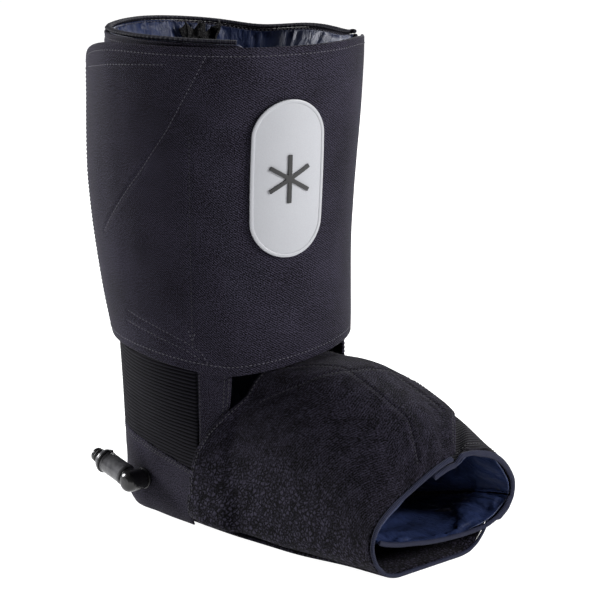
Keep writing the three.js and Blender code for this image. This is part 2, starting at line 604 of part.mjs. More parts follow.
const SLEEVE_END = STEM_LENGTH - 0.2;
const CLIP_START = SLEEVE_END - 4.4;
const CLIP_WIDTH = 1.8;
const CLIP_DEPTH = 0.8;
add("stem_sleeve", "grey_plastic", turned([
  [STEM_RADIUS + RUNNING, SLEEVE_START], [SLEEVE_RADIUS, SLEEVE_START],
  [SLEEVE_RADIUS, CLIP_START], [SLEEVE_RADIUS - CLIP_DEPTH, CLIP_START],
  [SLEEVE_RADIUS - CLIP_DEPTH, CLIP_START + CLIP_WIDTH], [SLEEVE_RADIUS, CLIP_START + CLIP_WIDTH],
  [SLEEVE_RADIUS, SLEEVE_END - 0.8], [SLEEVE_RADIUS - 0.8, SLEEVE_END], [STEM_RADIUS + RUNNING, SLEEVE_END],
], 24), stem);

// A spring clip open over a sixth of a turn, in the sleeve's groove
function retainingClip() {
  const opening = rad(60);
  const inner = SLEEVE_RADIUS - CLIP_DEPTH + 0.15;
  const outer = SLEEVE_RADIUS + 0.9;
  const outline = new THREE.Shape();
  outline.absarc(0, 0, outer, opening / 2, 2 * Math.PI - opening / 2, false);
  outline.absarc(0, 0, inner, 2 * Math.PI - opening / 2, opening / 2, true);
  return new THREE.ExtrudeGeometry(outline, { depth: CLIP_WIDTH - 0.4, bevelEnabled: false, curveSegments: 24 })
    .translate(0, 0, CLIP_START + 0.2);
}
add("retaining_clip", "black_plastic", retainingClip(), stem);

const NOZZLE_LOW = STEM_LENGTH + 0.3;
const NOZZLE_TOP = NOZZLE_LOW + NOZZLE_LENGTH;
const PLUG_RADIUS = VALVE_CHAMBER - 0.15;
const SEAT_LOW = STEM_LENGTH - 4;
const RING_AT = NOZZLE_LOW + 3.4;
add("nozzle", "black_plastic", turned([
  [NOZZLE_BORE, SEAT_LOW], [PLUG_RADIUS, SEAT_LOW], [PLUG_RADIUS, NOZZLE_LOW], [NOZZLE_RADIUS, NOZZLE_LOW],
  [NOZZLE_RADIUS, RING_AT - 0.7], [NOZZLE_RADIUS - 0.8, RING_AT - 0.7],
  [NOZZLE_RADIUS - 0.8, RING_AT + 0.7], [NOZZLE_RADIUS, RING_AT + 0.7],
  [NOZZLE_RADIUS, NOZZLE_TOP - 1], [NOZZLE_RADIUS - 0.6, NOZZLE_TOP], [NOZZLE_BORE, NOZZLE_TOP],
], 24), stem);
add("nozzle_o_ring", "seal", ring(NOZZLE_RADIUS - 0.8 + 0.55, 0.5, RING_AT), stem);

const POPPET_HEAD = 2;
const HEAD_TOP = SEAT_LOW - 0.3;
add("valve_poppet", "grey_plastic", turned([
  [0, HEAD_TOP - POPPET_HEAD], [VALVE_CHAMBER - 0.5, HEAD_TOP - POPPET_HEAD],
  [VALVE_CHAMBER - 0.5, HEAD_TOP - 0.6],
  [POPPET_RADIUS, HEAD_TOP], [POPPET_RADIUS, NOZZLE_TOP - 0.8], [0, NOZZLE_TOP - 0.5],
], 24), stem);

// The coil that holds the poppet on its seat
class Coil extends THREE.Curve {
  constructor(radius, from, to, turns) {
    super();
    Object.assign(this, { radius, from, to, turns });
  }

  getPoint(t, target = new THREE.Vector3()) {
    const turn = 2 * Math.PI * this.turns * t;
    return target.set(this.radius * Math.cos(turn), this.radius * Math.sin(turn), lerp(this.from, this.to, t));
  }
}

function springCoil() {
  const wire = 0.35;
  const turns = 4;
  const section = new THREE.Shape();
  section.absarc(0, 0, wire, 0, 2 * Math.PI, false);
  const path = new Coil(2.7, CHAMBER_FLOOR + wire + 0.25, HEAD_TOP - POPPET_HEAD - wire - 0.25, turns);
  return new THREE.ExtrudeGeometry(section, { extrudePath: path, steps: turns * 12, curveSegments: 2 });
}
add("valve_spring", "steel", springCoil(), stem);

export default wrap;
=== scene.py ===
"""Looks of a cold compression wrap for the ankle and foot: a soft boot of sewn panels round water chambers,
closed by two flaps, with a swivelling hose coupling at the heel. Sizes in the code are millimetres until a
mesh is made, which is in metres."""

import math

import bmesh
import bpy
import numpy as np
from mathutils import Matrix, Vector, noise
from mathutils.kdtree import KDTree


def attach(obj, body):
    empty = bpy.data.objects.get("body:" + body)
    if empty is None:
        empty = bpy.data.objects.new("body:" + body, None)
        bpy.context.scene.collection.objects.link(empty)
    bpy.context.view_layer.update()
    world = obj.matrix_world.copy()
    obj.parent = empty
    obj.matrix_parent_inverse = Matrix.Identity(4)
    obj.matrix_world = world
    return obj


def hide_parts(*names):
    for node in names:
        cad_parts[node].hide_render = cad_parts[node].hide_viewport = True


bl_info = {
    "name": "Cold Compression Wrap",
    "version": (1, 0, 0),
    "blender": (4, 5, 0),
    "location": "View3D > Sidebar > Wrap",
    "description": "Builds the fabric, lining, stitching and coupling of a cold compression wrap",
    "category": "Add Mesh",
}

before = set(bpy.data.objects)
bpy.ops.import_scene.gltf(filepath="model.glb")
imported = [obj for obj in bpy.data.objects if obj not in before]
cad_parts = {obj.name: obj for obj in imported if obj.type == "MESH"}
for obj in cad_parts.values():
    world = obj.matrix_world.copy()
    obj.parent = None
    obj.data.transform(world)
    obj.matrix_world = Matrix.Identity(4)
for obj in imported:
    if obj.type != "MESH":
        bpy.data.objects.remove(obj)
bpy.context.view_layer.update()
MM = 0.001
WRAP_MIDDLE = Vector((0.03, 0, 0.15))

# Leg tube
ANKLE_RADIUS = 72.0
CALF_BULGE = 7.5
RIM_RADIUS = 79.5
LEG_BOTTOM = 112.4
RIM_HEIGHT = 310.0
RIM_TILT = 4.0
CALF_RISE = 133.0
FLARE_HEIGHT = 150.0
FRONT_SEAM = 47.0
BACK_SEAM = 210.0
SEAM_GAP = 0.1
WING_START = BACK_SEAM - 360 + SEAM_GAP
WING_END = -34.0
WING_CORNER = 8.0
WING_DROP = 7.0
# Layers
FABRIC = 2.4
CHAMBER = 6.5
CLEAR = 0.8
BINDING = 2.2
HOOK = 1.1
LAID = 0.8
CHAMBER_OUT = FABRIC + CLEAR
CHAMBER_IN = CHAMBER_OUT + CHAMBER
# Closure flap
CLOSURE_TOP = 309.0
CLOSURE_LOW = 104.5
CLOSURE_LOW_DEG = -46.0
CLOSURE_SWEEP = 12.5
CLOSURE_END = -137.0
CLOSURE_CORNER = 28.0
CLOSURE_CORNER_DEG = 45.0
CLOSURE_LIFT = 8.5
CLOSURE_GAP = 1.2
CLOSURE_STRAIGHT = -55.0
BADGE_DEG = -20.0
BADGE_Z = 228.0
BADGE_WIDTH = 50.0
BADGE_HEIGHT = 98.0
BADGE_THICK = 1.6
FLAKE_BAR = (2.6, 30.0, 0.8)
# Heel and ankle
HEEL_X = -28.0
HEEL_RADIUS = 49.0
HEEL_HEIGHT = 25.0
HEEL_ROUND = 14.0
HEEL_TUCK = 5.0
SEAM_X = 26.0
SIDE_Y = 56.0
ANKLE_FRONT = 45.0
RIB_BACK = 64.0
RIB_FRONT = 38.0
RIB_SLOPE = 0.10
SIDE_SEAM = 0.86
SIDE_RUN = 0.36
ANKLE_FULL = 86.0
# Foot
TOE_X = 178.0
TOE_HEIGHT = 72.0
TOE_HALF = 68.5
TOE_SHIFT = 6.5
TOE_START = 92
INSTEP_X = 60.0
INSTEP_HEIGHT = 109.0
INSTEP_HALF = 57.0
WIDEST_REAR = 35.0
WIDEST_TOE = 25.0
UNDERLAP = 2.4
FAR_FLAP_EDGE = -8.0
FAR_SETBACK = 1.6
FLAP_FOOT = 228.0
FAR_FOOT = 180 - FLAP_FOOT
FLAP_END_X = TOE_X - BINDING - CLEAR
FOOT_CHAMBER = CHAMBER - 0.5
SOLE_HEEL_RADIUS = 41.0
SOLE_SHARE = 0.84
SOLE_TOE_NEAR = 0.848
SOLE_TOE_FAR = 0.555
REAR_EDGE = ((0, 14), (40, 28), (62, 39), (84, 56), (100, 62), (130, 62))
FLAP_REAR = ((0, 13), (20, 16), (40, 20), (62, 28), (76, 37), (90, 49), (100, 58), (130, 62))
TAB_EDGE = ((62, 34), (100, 44), (152, 40), (176, 13), (178, 12))


# ---------------------------------------------------------------- shapes of the boot, in millimetres
def smooth(a):
    a = np.clip(a, 0, 1)
    return a * a * (3 - 2 * a)


def lerp(a, b, t):
    return a + (b - a) * t


def along(chain, at):
    return np.interp(at, [p for p, _ in chain], [v for _, v in chain])


def calf_rise(z):
    return 1 - (1 - np.clip((z - LEG_BOTTOM) / CALF_RISE, 0, 1)) ** 1.8


def shell_radius(deg, z):
    back = 0.5 - 0.5 * np.cos(np.radians(deg - FRONT_SEAM))
    calf = ANKLE_RADIUS + CALF_BULGE * back * calf_rise(z)
    return lerp(calf, RIM_RADIUS, smooth((z - RIM_HEIGHT + FLARE_HEIGHT) / FLARE_HEIGHT))


def leg_point(deg, z, depth):
    radius = shell_radius(deg, z) - depth
    turn = np.radians(deg)
    return np.stack([radius * np.cos(turn), radius * np.sin(turn), z + 0 * deg], -1)


def rim_top(deg):
    """Height of the rim: tilted, and a little wavy at the back and the far side."""
    turn = (deg + 360) % 360
    wave = 2.6 * np.exp(-(((turn - 178) / 34) ** 2)) - 2.4 * np.exp(-(((turn - 121) / 16) ** 2))
    wave += 1.2 * np.exp(-(((turn - 88) / 16) ** 2)) + 2.2 * np.exp(-(((turn - 47) / 10) ** 2))
    return RIM_HEIGHT + RIM_TILT * np.cos(np.radians(deg + 85)) + wave


def shell_top(deg):
    return rim_top(deg) - BINDING - CLEAR


def wing_top(deg):
    return shell_top(deg) - np.clip((deg - WING_END + WING_CORNER) / WING_CORNER, 0, 1) * WING_DROP


def closure_bottom(deg):
    return CLOSURE_LOW + CLOSURE_SWEEP * np.abs(np.sin(np.radians(deg - CLOSURE_LOW_DEG))) ** 1.3


def closure_top(deg):
    corner = np.clip((CLOSURE_END + CLOSURE_CORNER_DEG - deg) / CLOSURE_CORNER_DEG, 0, 1)
    at_seam = 2.6 * smooth((deg - 22) / 26)
    return CLOSURE_TOP - CLOSURE_CORNER * (1 - np.sqrt(1 - (0.98 * corner) ** 2)) - at_seam


def closure_standoff(deg, z):
    towards_end = smooth((CLOSURE_STRAIGHT - deg) / (CLOSURE_STRAIGHT - CLOSURE_END))
    return CLOSURE_GAP + CLOSURE_LIFT * towards_end * calf_rise(z)


def closure_outer(deg, z):
    return -closure_standoff(deg, z) - FABRIC


def heel_outline(s):
    t = np.abs(s)
    side = np.where(s < 0, -1.0, 1.0)
    turn = np.pi - np.pi * np.minimum(t, 0.5)
    forward = np.maximum(t - 0.5, 0) / SIDE_RUN
    x = np.where(t <= 0.5, HEEL_X + HEEL_RADIUS * np.cos(turn), lerp(HEEL_X, SEAM_X, forward))
    y = np.where(t <= 0.5, HEEL_RADIUS * np.sin(turn), lerp(HEEL_RADIUS, SIDE_Y, np.minimum(forward, 1)))
    return np.stack([x, side * y], -1)


def ankle_outline(s):
    turn = np.radians(180 - np.abs(s) * (180 - ANKLE_FRONT))
    side = np.where(s < 0, -1.0, 1.0)
    return np.stack([ANKLE_RADIUS * np.cos(turn), side * ANKLE_RADIUS * np.sin(turn)], -1)


def heel_face(s, z):
    climb = np.clip((z - HEEL_HEIGHT) / (LEG_BOTTOM - HEEL_HEIGHT), 0, 1)[..., None]
    return lerp(heel_outline(s), ankle_outline(s), climb)


def heel_point(s, z, depth):
    face = heel_face(s, z)
    run = heel_face(s + 0.01, z) - heel_face(s - 0.01, z)
    run /= np.linalg.norm(run, axis=-1, keepdims=True)
    inward = depth + HEEL_TUCK * np.clip(1 - z / HEEL_ROUND, 0, 1) ** 2
    return np.stack([face[..., 0] + run[..., 1] * inward, face[..., 1] - run[..., 0] * inward, z], -1)


def rib_low(s):
    return lerp(RIB_BACK, RIB_FRONT, np.abs(s / SIDE_SEAM) ** 1.2)


# Section of the boot at the toe opening as (angle, y, z): the outer flap with the sole's sling, and the inner tube
TOE_FAR_SIDE = (
    (0, 71.1, 33.0), (10, 70.8, 39.0), (20, 67.5, 44.5), (30, 62.5, 50.5), (40, 56.6, 55.4), (50, 49.5, 59.5),
    (60, 40.0, 62.7), (70, 30.0, 64.3), (80, 20.0, 64.5), (90, 13.0, 64.5), (100, 5.5, 64.0), (113, -7.2, 60.5),
    (131, -25.3, 53.4), (148, -43.2, 46.4), (161, -54.3, 39.6), (171, -60.8, 33.3),
)
TOE_OUTER = TOE_FAR_SIDE + (
    (180, -62.9, 26.1), (195, -62.9, 20.0), (212, -59.4, 11.5), (228, -51.6, 3.8), (248, -41.4, 0.6),
    (262, -30.0, 0.3), (270, -4.0, 0.3), (276, 10.0, 0.3), (284, 22.2, 0.6), (294, 31.6, 2.5), (304, 38.7, 6.0),
    (316, 42.6, 12.5), (345, 62.0, 25.0),
)
TOE_TUBE = TOE_FAR_SIDE + (
    (184, -61.5, 27.0), (198, -58.5, 22.9), (205, -52.0, 20.0), (225, -38.0, 16.6), (250, -24.8, 14.6),
    (262, -15.0, 12.9), (268, -6.4, 11.6), (271, 7.6, 10.4), (275, 26.5, 9.6), (282, 43.2, 10.6), (300, 55.3, 14.0),
    (320, 64.9, 20.0), (342, 69.8, 27.0),
)


def toe_curve(table):
    """A point for each degree, without the corners of the table."""
    turn, *places = np.array(table).T
    spread = np.exp(-((np.arange(-12, 13) / 5.0) ** 2))
    fine = [np.tile(np.interp(np.arange(360.0), turn, k, period=360), 3) for k in places]
    return [np.convolve(k, spread / spread.sum(), "same")[360:720] for k in fine]


TOE_CURVES = {False: toe_curve(TOE_OUTER), True: toe_curve(TOE_TUBE)}


def station(x):
    t = np.clip((x - INSTEP_X) / (TOE_X - INSTEP_X), 0, 1)
    half = lerp(INSTEP_HALF, TOE_HALF, t)
    arch = 7.5 * smooth((x - INSTEP_X) / 50) * smooth((TOE_X - x) / 36)
    top = INSTEP_HEIGHT - (INSTEP_HEIGHT - TOE_HEIGHT) * t**1.8 + arch
    return half, TOE_SHIFT * t, top, lerp(WIDEST_REAR, WIDEST_TOE, t), lerp(0.45, 1.4, t)


def foot_outline(x, angle, tube=False):
    """A section of the foot at x. Towards the toe it turns into the section of the toe opening."""
    toe_y, toe_z = (np.interp(np.mod(angle, 360), np.arange(360.0), k, period=360) for k in TOE_CURVES[tube])
    toe = smooth((x - TOE_START) / (TOE_X - TOE_START))
    y, z = plain_section(x, angle)
    end_y, end_z = plain_section(TOE_X, angle)
    return np.stack([y + toe * (toe_y - end_y), z + toe * (toe_z - end_z)], -1)


def plain_section(x, angle):
    half, middle, top, widest, shoulder = station(x)
    across = np.cos(np.radians(angle))
    up = np.sin(np.radians(angle))
    power = np.where(up >= 0, shoulder, 0.25)
    y = middle + half * np.sign(across) * np.abs(across) ** power + middle * np.maximum(up, 0)
    return y, np.where(up >= 0, lerp(widest, top, up), widest * (1 - np.sqrt(np.maximum(-up, 0))))


def foot_point(x, angle, depth, tube=False):
    face = foot_outline(x, angle, tube)
    run = foot_outline(x, angle + 0.5, tube) - foot_outline(x, angle - 0.5, tube)
    run /= np.linalg.norm(run, axis=-1, keepdims=True)
    return np.stack([x + 0 * angle, face[..., 0] - run[..., 1] * depth, face[..., 1] + run[..., 0] * depth], -1)


def angle_at(x, y):
    half, middle, _, _, shoulder = station(x)
    reach = np.clip((y - 2 * middle) / half, -1, 1)
    return np.degrees(np.arccos(np.sign(reach) * np.abs(reach) ** (1 / shoulder)))


def rear_x(angle, rear=REAR_EDGE):
    return along(rear, np.maximum(foot_outline(INSTEP_X - 10.0, angle)[..., 1], 0))


def beside_ankle(points):
    """Pushes the instep flap out over the ankle panel and the heel cup, which it laps."""
    x, y, z = points.T
    steps = np.linspace(0.5, 1.12, 26)
    side = np.array([heel_face(k + 0 * z, z) for k in steps])
    reach = np.array([np.interp(x[i], side[:, i, 0], side[:, i, 1]) for i in range(len(x))])
    near = smooth((62 - x) / 14) * (y < 0) * smooth((112 - z) / 16) * smooth(z / 10)
    out = np.maximum(reach + FABRIC + 0.9 + y, 0)
    return np.stack([x, y - out * near, z], -1)


def tab_angle(x):
    return angle_at(x, along(TAB_EDGE, x))


def far_edge(x):
    return angle_at(x, FAR_FLAP_EDGE)


def far_foot(x):
    """Angle of the far flap's lower edge, which reaches further under the inner tube at the toe."""
    return FAR_FOOT - 16 * smooth((x - 115) / 50)


def tab_rise(angle, x):
    """The instep flap's tab stands a little proud of the far flap along its free edge."""
    along_tab = smooth((x - 96) / 30) * smooth((TOE_X + 2 - x) / 16)
    return -2.4 * along_tab * smooth((18 - angle + tab_angle(x)) / 16)


def far_dive(angle, x=INSTEP_X):
    """How far the far flap runs below the tab of the outer one."""
    return (FABRIC + UNDERLAP) * smooth((angle - tab_angle(x) + 12) / 11)


def foot_place(start, end, setback, end_x, rear=REAR_EDGE):
    """Place on the foot of a panel between two angles, which may vary along it."""

    def place(u, v):
        rough = lerp(start(INSTEP_X + 40.0), end(INSTEP_X + 40.0), u)
        x = lerp(rear_x(rough, rear) + setback, end_x, v)
        return x, lerp(start(x), end(x), u)

    return place


def fixed(value):
    return lambda *_: value


# ---------------------------------------------------------------- sheets of fabric
def rows_between(cells, size, radius):
    """Places from 0 to 1 with extra rows near both ends, where the sheet's edge is rounded."""
    share = min(radius / size, 0.3)
    near = share * np.array([0, 0.08, 0.3, 0.62, 1.0])
    return np.concatenate([near, np.linspace(share, 1 - share, cells + 1)[1:-1], 1 - near[::-1]])


def crumple(points, size, seed):
    """Smooth noise from -1 to 1 at each point. Size is that of a wrinkle, one number or one for each axis."""
    scaled = points / np.array(size) + seed * 7.31
    return np.array([noise.noise(Vector(p)) for p in scaled])


def tree_of(points):
    """A search tree over points."""
    tree = KDTree(len(points))
    for number, point in enumerate(points):
        tree.insert(point, number)
    tree.balance()
    return tree


def mesh_object(name, points, faces, finish):
    """A smooth object with one finish, from points in millimetres."""
    mesh = bpy.data.meshes.new(name)
    mesh.from_pydata((points * MM).tolist(), [], faces)
    mesh.shade_smooth()
    mesh.materials.append(finish)
    made = bpy.data.objects.new(name, mesh)
    bpy.context.scene.collection.objects.link(made)
    return made


class Sheet:
    """A closed sheet of fabric between two faces, with rounded edges and relief for its seams and wrinkles."""

    def __init__(self, name, place, cells, thick, relief=None, seams=(), seam_depth=0.45):
        self.name = name
        self.place = place
        self.relief = relief
        self.seam_depth = seam_depth
        middle = np.linspace(0, 1, 40)
        self.width = self._length(self._face(middle, 0 * middle + 0.5))
        self.height = self._length(self._face(0 * middle + 0.5, middle))
        radius = thick / 2
        self.us = rows_between(cells[0], self.width, radius)
        self.vs = rows_between(cells[1], self.height, radius)
        self.tree = tree_of(np.concatenate([self.spaced(path, 0.8) for path in seams])) if seams else None

    def _length(self, points):
        return float(np.linalg.norm(np.diff(points, axis=0), axis=1).sum())

    def _face(self, u, v):
        return self.place(u, v, 1.0)

    def spaced(self, path, step):
        """Points at even steps on the face along a path of (u, v) pairs."""
        u, v = (np.interp(np.linspace(0, 1, 400), np.linspace(0, 1, len(path)), c) for c in np.array(path, float).T)
        points = self._face(u, v)
        run = np.concatenate([[0], np.cumsum(np.linalg.norm(np.diff(points, axis=0), axis=1))])
        at = np.arange(0, run[-1], step)
        return np.stack([np.interp(at, run, points[:, k]) for k in range(3)], -1)

    def lift(self, points):
        """How far the finished face stands off the plain one."""
        height = np.zeros(len(points))
        if self.relief:
            height += self.relief(points)
        if self.tree:
            near = np.array([self.tree.find(p)[2] for p in points])
            height -= self.seam_depth * np.exp(-((near / 1.1) ** 2))
            height += 0.35 * self.seam_depth * np.exp(-(((near - 3.2) / 1.6) ** 2))
        return height

    def normals(self, grid):
        du = np.gradient(grid, axis=0)
        dv = np.gradient(grid, axis=1)
        out = np.cross(du, dv)
        return out / np.maximum(np.linalg.norm(out, axis=-1, keepdims=True), 1e-9)

    def build(self, finish):
        nu, nv = len(self.us), len(self.vs)
        u, v = np.meshgrid(self.us, self.vs, indexing="ij")
        flat_u, flat_v = u.ravel(), v.ravel()
        face = self.place(flat_u, flat_v, 1.0).reshape(nu, nv, 3)
        back = self.place(flat_u, flat_v, 0.0).reshape(nu, nv, 3)
        normal = self.normals(face)
        run_u = np.linalg.norm(np.diff(face, axis=0), axis=-1)
        run_v = np.linalg.norm(np.diff(face, axis=1), axis=-1)
        cloth_u = np.concatenate([np.zeros((1, nv)), np.cumsum(run_u, axis=0)])
        cloth_v = np.concatenate([np.zeros((nu, 1)), np.cumsum(run_v, axis=1)], axis=1)
        to_edge = nearest(cloth_u, cloth_u[-1:] - cloth_u, cloth_v, cloth_v[:, -1:] - cloth_v)
        half = np.linalg.norm(face - back, axis=-1) / 2
        inside = np.clip(to_edge / np.maximum(half, 1e-6), 0, 1)
        drop = 0.5 * (1 - np.sqrt(1 - (1 - inside) ** 2))[..., None]
        lift = self.lift(face.reshape(-1, 3)).reshape(nu, nv, 1) * normal
        outer = lerp(face, back, drop) + lift
        inner = lerp(back, face, drop) + lift
        cloth_u -= cloth_u[nu // 2][None]
        return closed_grid(self.name, outer, inner, cloth_u, cloth_v, finish)


def nearest(*distances):
    return np.minimum.reduce(distances)


def closed_grid(name, outer, inner, cloth_u, cloth_v, finish):
    """A mesh of two grids that share their border, with the place on the cut fabric at each point."""
    nu, nv = outer.shape[:2]
    index = np.arange(nu * nv).reshape(nu, nv)
    under = index.copy()
    kept = np.zeros((nu, nv), bool)
    kept[1:-1, 1:-1] = True
    under[kept] = nu * nv + np.arange(kept.sum())
    points = np.concatenate([outer.reshape(-1, 3), inner[kept]])
    quads = []
    for grid, turned in ((index, False), (under, True)):
        q = np.stack([grid[:-1, :-1], grid[1:, :-1], grid[1:, 1:], grid[:-1, 1:]], -1).reshape(-1, 4)
        quads.append(q[:, ::-1] if turned else q)
    made = mesh_object(name, points, np.concatenate(quads).tolist(), finish)
    cloth = np.stack([cloth_u, cloth_v, 0 * cloth_u], -1)
    cloth = np.concatenate([cloth.reshape(-1, 3), cloth[kept]])
    attribute = made.data.attributes.new("cloth", "FLOAT_VECTOR", "POINT")
    attribute.data.foreach_set("vector", cloth.astype(np.float32).ravel())
    return made


# ---------------------------------------------------------------- objects
def added(operator, **how):
    """The object that an operator adds, at the origin unless told otherwise."""
    bpy.ops.object.select_all(action="DESELECT")
    operator(**{"location": (0, 0, 0), **how})
    return bpy.context.object


def discard(made):
    mesh = made.data
    bpy.data.objects.remove(made)
    bpy.data.meshes.remove(mesh)


# ---------------------------------------------------------------- stitches
def stitch_shape():
    """One stitch: a short fat thread, lying along X, as vertices and faces in millimetres."""
    made = added(bpy.ops.mesh.primitive_uv_sphere_add, segments=6, ring_count=4, radius=1.0)
    bpy.ops.object.mode_set(mode="EDIT")
    bpy.ops.mesh.select_all(action="SELECT")
    bpy.ops.transform.rotate(value=math.pi / 2, orient_axis="Y", center_override=(0, 0, 0))
    bpy.ops.object.mode_set(mode="OBJECT")
    corners = np.array([v.co for v in made.data.vertices])
    faces = [list(p.vertices) for p in made.data.polygons]
    discard(made)
    return corners, faces


def sew(name, sheet, paths, pitch, finish, size):
    """A piece with a stitch at each step of some paths of (u, v) on a sheet."""
    corners, faces = stitch_shape()
    long, wide, high = (corners[:, k : k + 1] * size[k] for k in range(3))
    points, polygons = [], []
    for path in paths:
        line = sheet.spaced(path, pitch)
        ahead = np.gradient(line, axis=0)
        ahead /= np.linalg.norm(ahead, axis=1, keepdims=True)
        out = sheet_normal(sheet, line)
        side = np.cross(out, ahead)
        side /= np.linalg.norm(side, axis=1, keepdims=True)
        out = np.cross(ahead, side)
        centre = line + out * (sheet.lift(line)[:, None] + size[2] * 0.35)
        for c, a, s, o in zip(centre, ahead, side, out):
            start = len(points) * len(corners)
            points.append(c + long * a + wide * s + high * o)
            polygons += [[start + k for k in f] for f in faces]
    made = mesh_object(name, np.concatenate(points), polygons, finish)
    tidy_normals(made)
    return made


def sheet_normal(sheet, line):
    """Outward directions at points of a sheet's face, from the nearest places of its own grid."""
    if not hasattr(sheet, "grid_tree"):
        u, v = np.meshgrid(np.linspace(0, 1, 60), np.linspace(0, 1, 60), indexing="ij")
        grid = sheet.place(u.ravel(), v.ravel(), 1.0).reshape(60, 60, 3)
        sheet.grid_normals = sheet.normals(grid).reshape(-1, 3)
        sheet.grid_tree = tree_of(grid.reshape(-1, 3))
    found = [sheet.grid_tree.find_n(p, 4) for p in line]
    out = np.array([np.mean([sheet.grid_normals[i] for _, i, _ in near], axis=0) for near in found])
    return out / np.linalg.norm(out, axis=1, keepdims=True)


def tidy_normals(made):
    bm = bmesh.new()
    bm.from_mesh(made.data)
    bmesh.ops.recalc_face_normals(bm, faces=bm.faces)
    bm.to_mesh(made.data)
    bm.free()


# ---------------------------------------------------------------- finishes
class Value:
    """An output of a finish's nodes, used in expressions."""

    def __init__(self, finish, socket):
        self.finish = finish
        self.socket = socket

    def _math(self, operation, a, b=0.0, clamp=False):
        return self.finish.node("ShaderNodeMath", {"operation": operation, "use_clamp": clamp}, {0: a, 1: b})

    def __add__(self, other):
        return self._math("ADD", self, other)

    def __sub__(self, other):
        return self._math("SUBTRACT", self, other)

    def __rsub__(self, other):
        return self._math("SUBTRACT", other, self)

    def __mul__(self, other):
        return self._math("MULTIPLY", self, other)

    __radd__ = __add__
    __rmul__ = __mul__

    def clamped(self):
        return self._math("ADD", self, 0.0, clamp=True)

    def wave(self, pitch):
        """From 0 to 1 and back over each pitch."""
        return self._math("SINE", self * (2 * math.pi / pitch)) * 0.5 + 0.5

    def over(self, low, high):
        """From 0 at low to 1 at high, smoothly."""
        settings = {"interpolation_type": "SMOOTHSTEP"}
        return self.finish.node("ShaderNodeMapRange", settings, {0: self, 1: low, 2: high, 3: 0.0, 4: 1.0})


class Finish:
    """A procedural material. Constants go straight on the shader's sockets."""

    def __init__(self, name, **constants):
        self.material = bpy.data.materials.new(name)
        self.material.use_nodes = True
        self.tree = self.material.node_tree
        self.shader = next(n for n in self.tree.nodes if n.type == "BSDF_PRINCIPLED")
        for socket, value in constants.items():
            self.shader.inputs[socket.replace("_", " ").title().replace("Ior", "IOR")].default_value = value

    def node(self, kind, settings, values, out=0):
        made = self.tree.nodes.new(kind)
        for key, value in settings.items():
            setattr(made, key, value)
        for key, value in values.items():
            if isinstance(value, Value):
                self.tree.links.new(value.socket, made.inputs[key])
            else:
                made.inputs[key].default_value = value
        return Value(self, made.outputs[out])

    def cloth(self, turn=0.0, stretch=(1.0, 1.0, 1.0)):
        """Place on the cut fabric in millimetres."""
        place = self.node("ShaderNodeAttribute", {"attribute_name": "cloth"}, {}, "Vector")
        return self.turned(place, turn, stretch)

    def solid(self, turn=0.0, stretch=(1.0, 1.0, 1.0)):
        """Place in the object in metres."""
        return self.turned(self.node("ShaderNodeTexCoord", {}, {}, "Object"), turn, stretch)

    def turned(self, place, turn, stretch):
        settings = {"vector_type": "POINT"}
        return self.node("ShaderNodeMapping", settings, {0: place, 2: (0.0, 0.0, turn), 3: stretch})

    def axes(self, place):
        split = self.node("ShaderNodeSeparateXYZ", {}, {0: place})
        return [Value(self, split.socket.node.outputs[k]) for k in range(3)]

    def woven(self):
        """Place on the cut fabric, and its two distances along the threads."""
        cloth = self.cloth()
        return cloth, *self.axes(cloth)[:2]

    def noise(self, place, size, detail=2.0, rough=0.5):
        values = {"Vector": place, "Scale": 1 / size, "Detail": detail, "Roughness": rough}
        return self.node("ShaderNodeTexNoise", {}, values, 0)

    def noise_vector(self, place, size):
        """A small sideways wander of a pattern, in its own units."""
        values = {"Vector": place, "Scale": 1 / size, "Detail": 2.0}
        wander = self.node("ShaderNodeTexNoise", {}, values, 1)
        return self.node("ShaderNodeVectorMath", {"operation": "SCALE"}, {0: wander, 3: 0.9})

    def cells(self, place, size, feature="F1"):
        values = {"Vector": place, "Scale": 1 / size}
        return self.node("ShaderNodeTexVoronoi", {"feature": feature}, values, 0)

    def mix(self, share, a, b):
        """A colour between two."""
        colours = {6: a if isinstance(a, Value) else (*a, 1.0), 7: b if isinstance(b, Value) else (*b, 1.0)}
        return self.node("ShaderNodeMix", {"data_type": "RGBA"}, {0: share, **colours}, 2)

    def tones(self, share, colour, dark, pale):
        """A colour between a darker and a paler one."""
        return self.mix(share, paler(colour, dark), paler(colour, pale))

    def done(self, colour=None, rough=None, height=None, depth=0.1):
        """Links what varies over the surface. Depth is the height of the relief in millimetres."""
        inputs = self.shader.inputs
        if colour is not None:
            self.tree.links.new(colour.socket, inputs["Base Color"])
        if rough is not None:
            self.tree.links.new(rough.socket, inputs["Roughness"])
        if height is not None:
            bump = self.node("ShaderNodeBump", {}, {"Strength": 1.0, "Distance": depth * MM, "Height": height})
            self.tree.links.new(bump.socket, inputs["Normal"])
        return self.material


def paler(colour, share):
    return tuple(min(1.0, c * share) for c in colour)


